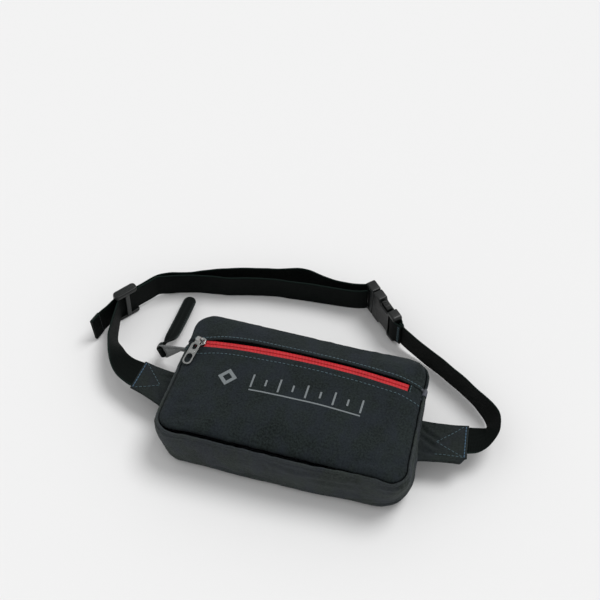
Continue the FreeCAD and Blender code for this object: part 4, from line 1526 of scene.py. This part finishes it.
def build_belt():
    """The straps: left to the strap slider, two layers to the buckle, and right to the wing."""
    left = [
        ((-135.6, 11.6, 22.0), (-138.6, -14.2, 22.0)), ((-141.5, 12.6, 21.2), (-145.0, -12.6, 22.0)),
        ((-150.5, 17.0, 16.5), (-156.4, -6.8, 22.4)), ((-158.5, 23.0, 12.0), (-164.5, 1.5, 23.6)),
        ((-166.5, 31.5, 6.5), (-171.0, 12.5, 24.2)), ((-173.6, 38.5, 2.2), (-175.4, 23.0, 23.4)),
        ((-176.4, 43.5, 0.9), (-178.4, 32.5, 24.2)), ((-178.3, 51.0, 1.0), (-179.6, 46.0, 25.6)),
    ]
    left += stand([(-180.6, 61.5, 3.0), guide_station(-6.0, -LAYER), guide_station(2.0, -LAYER)])
    strap = web("left_webbing", left)
    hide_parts("left_strap")
    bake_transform(strap)

    inner = stand([
        guide_station(1.0, -LAYER), guide_station(14, -LAYER), guide_station(26, -LAYER),
        guide_station(33.0, -LAYER),
        (-149.5, 103.2, 1.6), (-141.0, 107.6, 0.5), (-130.5, 111.0, 0.3), (-120.0, 113.6, 0.3),
        (-109.0, 115.6, 0.3),
        (-98.0, 117.2, 0.3), (-88.0, 120.0, 0.3), (-77.0, 123.3, 0.3), (-57.0, 127.6, 0.3),
        (-45.0, 128.6, 0.3), (-35.0, 130.0, 0.3),
        (-20.0, 131.6, 0.3), (-1.0, 132.5, 0.8), (10.0, 132.5, 2.0), (20.0, 133.4, 3.5), (26.2, 135.3, 4.2),
    ])
    layer = web("inner_layer", inner, ripple_size=0.4, quiet=34.0)
    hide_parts("belt_inner_run", "belt_inner_end")
    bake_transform(layer)

    outer = [
        ((-192.6, 44.0, 0.8), (-194.8, 44.0, 25.6)), ((-190.4, 50.0, 1.2), (-192.4, 50.0, 26.0)),
        ((-187.4, 57.0, 2.2), (-188.4, 57.0, 27.0)),
    ]
    outer += stand([
        guide_station(-10.0, LAYER), guide_station(4, LAYER), guide_station(18, LAYER),
        guide_station(33.0, LAYER),
        (-150.0, 107.0, 1.6), (-140.0, 111.0, 0.6), (-130.0, 114.8, 0.3), (-121.0, 119.2, 0.3),
        (-111.0, 123.8, 0.3),
        (-101.0, 127.6, 0.3), (-91.0, 131.0, 0.3), (-80.0, 134.0, 0.3), (-70.0, 136.6, 0.3),
        (-59.0, 139.2, 0.3),
        (-49.0, 142.6, 0.3), (-40.0, 145.4, 0.4), (-33.0, 146.0, 0.4), (-27.0, 145.6, 0.4),
        (-16.0, 143.0, 0.5), (-4.0, 140.9, 1.0), (7.0, 139.9, 2.2),
        (16.0, 140.3, 3.6), (22.6, 141.5, 4.2), (26.4, 142.9, 4.2),
    ])
    layer = web("outer_layer", outer, ripple_size=0.45, quiet=66.0)
    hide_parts("belt_outer_run", "belt_outer_end", "belt_tail")
    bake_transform(layer)
    end = [
        ((-191.4, 48.0, 1.0), (-193.4, 48.0, 25.9)), ((-192.8, 43.0, 0.8), (-195.0, 43.0, 25.6)),
        ((-194.0, 38.0, 0.6), (-196.4, 38.0, 25.4)),
    ]
    hem = web("tail_hem_webbing", end, thick=2 * WEB_THICK, ripple_size=0.1)
    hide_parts("tail_hem")
    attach(hem, "belt")
    rows = []
    for sign in (1, -1):
        rows.append([
            ((-192.0 - 0.075 * (z - 1) + sign * 1.5, 46.5 + sign * 0.3, z), (sign, 0.1 * sign, 0))
            for z in range(3, 26, 2)
        ])
    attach(stitches("hem_stitch", rows, DARK_THREAD, 1.8, 0.8), "belt")

    x, y = buckle_point(50.2, 0.3)
    low = BUCKLE[2] - WEB_WIDTH / 2
    right = stand([
        (x, y, low), (67.5, 104.0, 3.4), (75.0, 99.8, 2.4), (84.0, 95.2, 1.0), (92.0, 91.0, 0.5),
        (100.0, 86.8, 0.3), (108.0, 82.3, 0.3), (116.0, 77.4, 0.3), (124.0, 72.6, 0.3), (132.0, 67.2, 0.3),
    ])
    right += [
        ((140.0, 60.8, 0.4), (140.6, 61.2, 25.3)), ((146.5, 54.6, 0.5), (148.4, 56.4, 25.3)),
        ((151.6, 48.6, 0.8), (155.8, 51.2, 25.4)), ((154.4, 42.5, 2.2), (162.6, 43.5, 25.6)),
        ((154.2, 38.0, 6.0), (165.6, 32.5, 26.2)),
        ((152.8, 34.0, 11.0), (165.4, 22.5, 26.0)), ((149.6, 29.6, 17.0), (160.6, 9.5, 25.0)),
        ((145.6, 26.0, 21.0), (153.4, 2.5, 22.8)), ((139.6, 24.2, 22.0), (144.6, -0.6, 22.0)),
    ]
    strap = web("right_webbing", right)
    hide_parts("right_strap")
    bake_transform(strap)


# ---------------------------------------------------------------- buckle and strap slider

BUCKLE = (26.0, 143.5, 16.7)
TURN = math.radians(-45.0)


def buckle_point(along, out):
    """Plan position on the buckle, along it from the plug's end and out from its middle."""
    x = BUCKLE[0] + along * math.cos(TURN) - out * math.sin(TURN)
    y = BUCKLE[1] + along * math.sin(TURN) + out * math.cos(TURN)
    return x, y


def on_buckle(p):
    """Places a slab drawn as (along, across, out)."""
    x, y = buckle_point(p[0], p[2])
    return x, y, BUCKLE[2] + p[1]


def mirrored(half):
    """A closed outline from its upper half, listed from one end to the other."""
    return half + [(x, -y) if len(rest) == 0 else (x, -y, *rest) for x, y, *rest in reversed(half)]


def build_buckle():
    """Side-release buckle in moulded plastic, with its sewn loops."""
    body = rounded_outline(mirrored([
        (12.5, 16.4, 2.0), (22.5, 16.4, 1.6), (24.2, 12.4, 2.6), (36.0, 12.2, 2.6), (37.8, 16.4, 1.6),
        (48.0, 16.4, 3.2),
    ]))
    shell = joined("buckle_socket", [(slab(body, -4.4, 4.4, 1.7, 5), on_buckle)], PLASTIC)
    cavity = rounded_outline(mirrored([(8.0, 14.0, 0.5), (35.6, 14.0, 1.0)]))
    window = rounded_outline([(24.6, 6.5, 1.0), (35.8, 6.5, 1.0), (35.8, 20.0, 0.0), (24.6, 20.0, 0.0)])
    lower_window = [(x, -y) for x, y in reversed(window)]
    slot = box_outline(38.8, 42.5, 12.9, -12.9, 1.2)
    bar = box_outline(42.6, 50.0, 12.9, -12.9, 0.3)
    cut(shell, [
        (slab(cavity, -2.7, 2.7, 0.6, 2), on_buckle), (slab(window, -2.9, 2.9), on_buckle),
        (slab(lower_window, -2.9, 2.9), on_buckle),
        (slab(slot, -8.0, 8.0), on_buckle), (slab(bar, -8.0, -2.5), on_buckle),
        (slab(bar, 2.5, 8.0), on_buckle),
    ])
    for level in (-1, 1):
        rib = box_outline(14.4, 15.6, 9.5, -9.5, 0.6)
        face = level * 4.25
        ridges = []
        for k in range(3):
            ridge = [(x + 2.2 * k, y) for x, y in rib]
            ridges.append((slab(ridge, face - 0.25, face + 0.35, 0.2, 2), on_buckle))
        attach(joined("socket_ridges_" + ("back" if level > 0 else "front"), ridges, PLASTIC), "belt")
    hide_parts("buckle_female")
    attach(shell, "belt")

    base = rounded_outline(mirrored([(0.0, 16.4, 3.0), (12.0, 16.4, 1.4)]))
    plug = joined("buckle_plug_base", [(slab(base, -4.2, 4.2, 1.6, 5), on_buckle)], PLASTIC)
    slot = box_outline(4.7, 7.9, 12.9, -12.9, 1.0)
    bar = box_outline(-2.0, 4.8, 12.9, -12.9, 0.3)
    cut(plug, [
        (slab(slot, -8.0, 8.0), on_buckle), (slab(bar, -8.0, -2.5), on_buckle),
        (slab(bar, 2.5, 8.0), on_buckle),
    ])
    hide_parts("buckle_male")
    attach(plug, "buckle_plug")
    tongue = rounded_outline(mirrored([(11.0, 3.4, 0.2), (26.0, 3.4, 1.5), (30.0, 1.6, 1.4)]))
    stiffener = rounded_outline(mirrored([(11.0, 0.6, 0.1), (28.0, 0.6, 0.4)]))
    parts = [(slab(tongue, -1.3, 1.3, 0.5, 3), on_buckle), (slab(stiffener, -2.1, 2.1, 0.3, 2), on_buckle)]
    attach(joined("buckle_tongue", parts, PLASTIC), "buckle_plug")
    for sign, name in ((1, "upper_prong"), (-1, "lower_prong")):
        arm = rounded_outline([
            (12.3, 9.6, 0.6), (33.0, 9.8, 2.0), (35.4, 11.6, 1.2), (34.6, 14.6, 1.0), (31.8, 16.3, 1.6),
            (25.2, 16.3, 0.7), (24.9, 13.4, 0.4), (12.3, 13.1, 0.6),
        ])
        arm = [(x, sign * y) for x, y in arm]
        parts = [(slab(arm, -2.4, 2.4, 0.45, 3), on_buckle)]
        for k in range(3):
            start = 2.0 * k
            grip = box_outline(26.6 + start, 27.6 + start, sign * 15.2, sign * 16.75, 0.3)
            parts.append((slab(grip, -2.1, 2.1, 0.2, 2), on_buckle))
        prong = joined(name + "_arm", parts, PLASTIC)
        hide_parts(name)
        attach(prong, name)

    def loop(name, path, body, node):
        """Webbing seen from above along a plan path, standing the buckle's way."""
        low = BUCKLE[2] - WEB_WIDTH / 2
        points = catmull([[*buckle_point(s, n), low] for s, n in path], 0.5)
        obj = web(name, stand(points), step=0.6, ripple_size=0.0)
        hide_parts(node)
        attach(obj, body)

    turn = [
        (6.0, -4.4), (6.1, -1.0), (6.0, 2.4), (4.9, 3.9), (2.6, 4.1), (0.2, 3.8), (-1.0, 2.2),
        (-1.15, -0.5), (-1.0, -2.8),
    ]
    loop("plug_loop", turn, "buckle_plug", "strap_bight")
    turn = [
        (54.6, -0.9), (51.0, -2.0), (47.5, -3.6), (43.6, -3.9), (40.8, -3.0), (40.1, 0.0), (40.8, 3.0),
        (43.6, 3.9), (47.5, 3.6), (51.0, 2.3), (54.6, 1.4),
    ]
    loop("socket_loop", turn, "belt", "right_loop")
    lines = []
    for s, n, face in ((52.2, -2.55, -1), (53.3, -2.2, -1), (52.2, 2.75, 1), (53.3, 2.45, 1)):
        x, y = buckle_point(s, n)
        lines.append([((x, y, z), (0.707 * face, 0.707 * face, 0)) for z in (6, 10, 15, 20, 25, 28)])
    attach(stitches("socket_bartack", lines, THREAD, 1.5, 0.15, 0.6, 0.5, zigzag=0.45), "belt")


def on_guide(p):
    """Places a slab drawn as (along, out, up)."""
    x, y = guide_point(p[0], p[1])
    return x, y, p[2]


def build_strap_slider():
    """Three-bar strap slider with thick rounded ends."""
    end = box_outline(-11.2, 11.2, -3.9, 3.9, 3.8, 10)
    parts = []
    for low, high in ((0.1, 2.95), (28.5, 33.0)):
        parts.append((slab(end, low, high, 1.3, 5), on_guide))
    for t in (-1.7, 0.0, 1.7):
        rib = box_outline(-8.6, 8.6, t - 0.42, t + 0.42, 0.4)
        parts.append((slab(rib, 32.6, 33.45, 0.3, 2), on_guide))
    for start, stop, low, high in (
        (-10.5, -7.1, 1.95, 3.85), (7.1, 10.5, 1.95, 3.85), (-2.1, 2.1, -3.95, -1.9)
    ):
        bar = box_outline(start, stop, low, high, 0.8)
        parts.append((slab(bar, 2.4, 29.0), on_guide))
    obj = joined("strap_slider_plastic", parts, PLASTIC)
    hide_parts("strap_slider")
    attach(obj, "strap_slider")


# ---------------------------------------------------------------- zip hardware

def slider_shapes():
    """Parts of a zip slider that runs along X over a zip at height 0."""
    base = rounded_outline([
        (-5.0, -4.0, 1.6), (1.8, -4.0, 1.4), (5.0, -2.6, 1.4), (5.0, 2.6, 1.4), (1.8, 4.0, 1.4),
        (-5.0, 4.0, 1.6),
    ])
    post = box_outline(-4.2, 4.0, -1.5, 1.5, 0.9)
    arch = [
        (-3.3, 0, 2.2), (-3.45, 0, 3.6), (-3.0, 0, 4.9), (-2.0, 0, 5.55), (0, 0, 5.75), (2.0, 0, 5.55),
        (3.0, 0, 4.9), (3.45, 0, 3.6), (3.3, 0, 2.2),
    ]
    arch = [p[:3] for p in catmull(arch, 0.5)]
    return [
        (slab(base, 0.3, 2.5, 0.75, 4), None), (slab(post, 2.2, 3.1, 0.4, 3), None),
        (tube(arch, 0.72, 12, 1.25), None),
    ]


def crown_place(p):
    """Places a shape drawn at the crown's middle at the pocket zip's closed end."""
    turn = math.asin((SLIDER_X - CROWN_X) / CROWN_RADIUS)
    x, z = p[0], p[2] + CROWN_RADIUS
    along = x * math.cos(turn) + z * math.sin(turn)
    up = z * math.cos(turn) - x * math.sin(turn)
    return CROWN_X + along, p[1] + ZIP_Y, CROWN_Z - CROWN_RADIUS + up


def side_place(p):
    """Places a shape drawn over a zip at height 0 on the bag's left side."""
    return side_face() - p[2], MAIN_SLIDER_Y + p[0], MAIN_ZIP_Z - p[1]


def side_face():
    slope = TAPER * HALF_LENGTH / HALF_HEIGHT
    return CORNER * math.hypot(1, slope) - side_x(HALF_HEIGHT - CORNER) - CORNER - 0.3


def build_front_slider():
    """The pocket zip's slider and its long puller."""
    obj = joined("front_slider_metal", [(bm, crown_place) for bm, _ in slider_shapes()], METAL)
    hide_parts("front_zip_slider")
    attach(obj, "front_slider")
    dip, yaw = math.radians(10.0), math.radians(-14.0)

    def lay(p):
        y = p[1] * math.cos(dip) - p[2] * math.sin(dip)
        z = p[1] * math.sin(dip) + p[2] * math.cos(dip)
        x = p[0] * math.cos(yaw) - y * math.sin(yaw)
        return crown_place((x, p[0] * math.sin(yaw) + y * math.cos(yaw), z + 5.0))

    outline = rounded_outline([
        (-1.9, -1.2, 0.3), (-2.0, -3.4, 1.0), (-4.2, -5.6, 2.2), (-4.3, -24.8, 4.2), (4.3, -24.8, 4.2),
        (4.2, -5.6, 2.2), (2.0, -3.4, 1.0), (1.9, -1.2, 0.3),
    ], 10)
    small = stadium(-2.1, 2.1, -10.4, -5.0)
    long = stadium(-2.95, 2.95, -23.5, -14.6)
    tag = slab(outline, -0.65, 0.65, 0.4, 4, holes=(small, long))
    rib = box_outline(-2.6, 2.6, -13.9, -11.2, 0.8)
    eye = bmesh.new()
    bmesh.ops.create_cone(eye, cap_ends=False, segments=28, radius1=2.25, radius2=2.25, depth=3.6)
    bmesh.ops.solidify(eye, geom=eye.faces[:], thickness=0.72)
    for vert in eye.verts:
        vert.co = Vector((vert.co.z, vert.co.x, vert.co.y))
    parts = [(tag, lay), (slab(rib, 0.3, 1.15, 0.35, 3), lay), (eye, lay)]
    obj = joined("front_puller_metal", parts, METAL)
    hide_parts("front_puller")
    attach(obj, "front_puller")


BAR_MIDDLE = Vector((-130.0, MAIN_SLIDER_Y, 14.75))
BAR_ALONG = Vector((-6.0, 0.0, 17.5)).normalized()
BAR_ACROSS = Vector((17.5, 0.0, 6.0)).normalized()


def bar_x(z):
    """X of the middle of the sloping bar that the tab hangs on."""
    return BAR_MIDDLE.x + (z - BAR_MIDDLE.z) * BAR_ALONG.x / BAR_ALONG.z


def build_main_slider():
    """The main zip's slider, its flat puller and the folded cloth tab."""
    obj = joined("main_slider_metal", [(bm, side_place) for bm, _ in slider_shapes()], GUNMETAL)
    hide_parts("main_zip_slider")
    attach(obj, "main_slider")
    eye_x = side_face() - 5.6

    def upright(p):
        return p[0], MAIN_SLIDER_Y + p[2], p[1]

    outline = rounded_outline([
        (eye_x + 2.5, 28.4, 2.2), (eye_x + 2.5, 23.6, 2.2), (eye_x - 5.5, 22.4, 1.5),
        (bar_x(8.2) + 2.6, 7.9, 1.4), (bar_x(7.7) - 0.85, 7.7, 1.1), (bar_x(22.2) - 0.85, 22.2, 1.1),
        (bar_x(22.4) + 2.6, 23.2, 1.2), (eye_x - 6.5, 26.9, 1.5),
    ], 8)
    hole = [
        (eye_x + 1.5 * math.cos(a), 26.0 + 1.5 * math.sin(a)) for a in (TAU * k / 20 for k in range(20))
    ]
    slot = rounded_outline([
        (bar_x(8.8) + 0.8, 8.8, 0.6), (bar_x(9.6) + 3.2, 9.9, 0.7), (bar_x(20.6) + 3.2, 21.2, 0.7),
        (bar_x(21.3) + 0.8, 21.3, 0.6),
    ])
    plate = slab(outline, -0.7, 0.7, 0.35, 4, holes=(hole, slot))
    rib = rounded_outline([
        (eye_x - 4.0, 23.6, 0.6), (bar_x(13.0) + 5.6, 14.4, 0.8), (bar_x(19.6) + 5.2, 21.0, 0.8),
        (eye_x - 4.0, 25.8, 0.6),
    ])
    parts = [(plate, upright), (slab(rib, -1.0, 1.0, 0.3, 3), upright)]
    obj = joined("main_puller_metal", parts, GUNMETAL)
    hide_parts("main_puller")
    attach(obj, "main_puller")

    half = 5.3
    edges = []
    for out, dy in (
        (0.2, 4.6), (1.5, 3.2), (2.0, 0.6), (1.5, -1.6), (0.0, -2.3), (-1.5, -1.6), (-2.0, 0.6),
        (-1.7, 3.2), (-0.4, 5.2),
    ):
        place = BAR_MIDDLE + BAR_ACROSS * out + Vector((0, dy, 0))
        edges.append((tuple(place - BAR_ALONG * half), tuple(place + BAR_ALONG * half)))
    edges += [
        ((-131.5, 41.0, 10.9), (-127.2, 41.0, 18.6)), ((-133.1, 48.5, 11.4), (-122.3, 48.5, 14.8)),
        ((-133.0, 58.0, 11.5), (-121.5, 58.0, 11.5)),
        ((-132.6, 72.0, 9.9), (-121.1, 72.0, 9.7)), ((-132.5, 86.0, 8.3), (-121.0, 86.4, 8.1)),
        ((-132.5, 100.6, 6.7), (-121.1, 100.6, 6.7)),
    ]
    tab = web("pull_tab_tape", edges, TAB, thick=1.6, step=0.7, round_end=5.7, ripple_size=0.12, quiet=14.0)
    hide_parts("pull_tab")
    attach(tab, "pull_tab")
    lines = []
    for x in (-131.4, -122.6):
        lines.append([((x, yy, 12.35 - 0.11 * (yy - 58)), (0, 0.06, 1)) for yy in range(58, 96, 3)])
    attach(stitches("tab_stitch", lines, DARK_THREAD, 1.9, 0.8, 0.4, 0.3), "pull_tab")


# ---------------------------------------------------------------- print

def build_print(on_cloth):
    """A plain grey motif in place of lettering: a diamond and a row of thin bars."""
    middle, step, first = -1.8, 11.5, -37.0
    shapes = [[(-66.0, middle), (-57.8, middle + 8.4), (-49.6, middle), (-57.8, middle - 8.4)]]
    inner = [(-61.9, middle), (-57.8, middle + 4.2), (-53.7, middle), (-57.8, middle - 4.2)]
    for k in range(9):
        x = first + step * k
        tall = 6.4 if k % 2 == 0 else 3.2
        shapes.append(box_outline(x, x + 1.5, middle - tall, middle + tall, 0.4, 4))
    shapes.append(box_outline(first, first + 8 * step + 1.5, -11.4, -10.2, 0.2, 4))
    parts = []
    for index, outline in enumerate(shapes):
        bm = slab(outline, 0.0, 0.1, holes=(inner,) if index == 0 else ())
        bmesh.ops.triangulate(bm, faces=bm.faces[:])
        for _ in range(4):
            long = [e for e in bm.edges if e.calc_length() > 2.0]
            if not long:
                break
            bmesh.ops.subdivide_edges(bm, edges=long, cuts=1)
            bmesh.ops.triangulate(bm, faces=bm.faces[:])
        parts.append((bm, lambda p: (p[0], p[1], on_cloth(p[0], p[1])[0] + 0.03 + p[2])))
    obj = joined("grey_motif", parts, PRINT)
    layer = obj.data.uv_layers.new(name="flat")
    for loop in obj.data.loops:
        co = obj.data.vertices[loop.vertex_index].co
        layer.data[loop.index].uv = (co.x / MM, co.y / MM)
    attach(obj, "bag")


# ---------------------------------------------------------------- studio

def build_studio():
    """Pale seamless floor, soft light from behind and above, and the camera."""
    s = Shader("studio_floor")
    s.finish((0.80, 0.80, 0.80), 0.9, specular=0.1)
    bpy.ops.mesh.primitive_plane_add(size=30, location=(0, 0, -0.0004))
    floor = bpy.context.object
    floor.name = "studio_floor"
    floor.data.materials.append(s.material)

    world = bpy.context.scene.world or bpy.data.worlds.new("studio")
    bpy.context.scene.world = world
    world.use_nodes = True
    world.node_tree.nodes["Background"].inputs["Color"].default_value = (1.0, 1.0, 1.0, 1.0)
    world.node_tree.nodes["Background"].inputs["Strength"].default_value = 0.68

    def lamp(name, kind, place, aim, power, size):
        data = bpy.data.lights.new(name, kind)
        data.energy = power
        if kind == "SUN":
            data.angle = size
        else:
            data.size = size
        obj = bpy.data.objects.new(name, data)
        obj.location = place
        obj.rotation_euler = (Vector(aim) - Vector(place)).to_track_quat("-Z", "Y").to_euler()
        bpy.context.scene.collection.objects.link(obj)

    lamp("key", "SUN", (0.8, 0.95, 2.2), (0, 0, 0), 1.58, math.radians(30))

    data = bpy.data.cameras.new("camera")
    data.lens = 85.0
    data.sensor_width = 36.0
    camera = bpy.data.objects.new("camera", data)
    azimuth, elevation, distance = math.radians(16.2), math.radians(52.0), 1.275
    target = Vector((-0.0343, 0.1301, 0.0))
    back = Vector(
        (
            math.sin(azimuth) * math.cos(elevation), -math.cos(azimuth) * math.cos(elevation),
            math.sin(elevation),
        )
    )
    camera.location = target + back * distance
    camera.rotation_euler = (-back).to_track_quat("-Z", "Y").to_euler()
    bpy.context.scene.collection.objects.link(camera)
    bpy.context.scene.camera = camera
    bpy.context.scene.view_settings.view_transform = "Standard"


lower_cloth = build_front()
build_front_zip()
build_walls()
build_joins()
build_back()
build_wings()
build_belt()
build_buckle()
build_strap_slider()
build_front_slider()
build_main_slider()
build_print(lower_cloth)
build_studio()
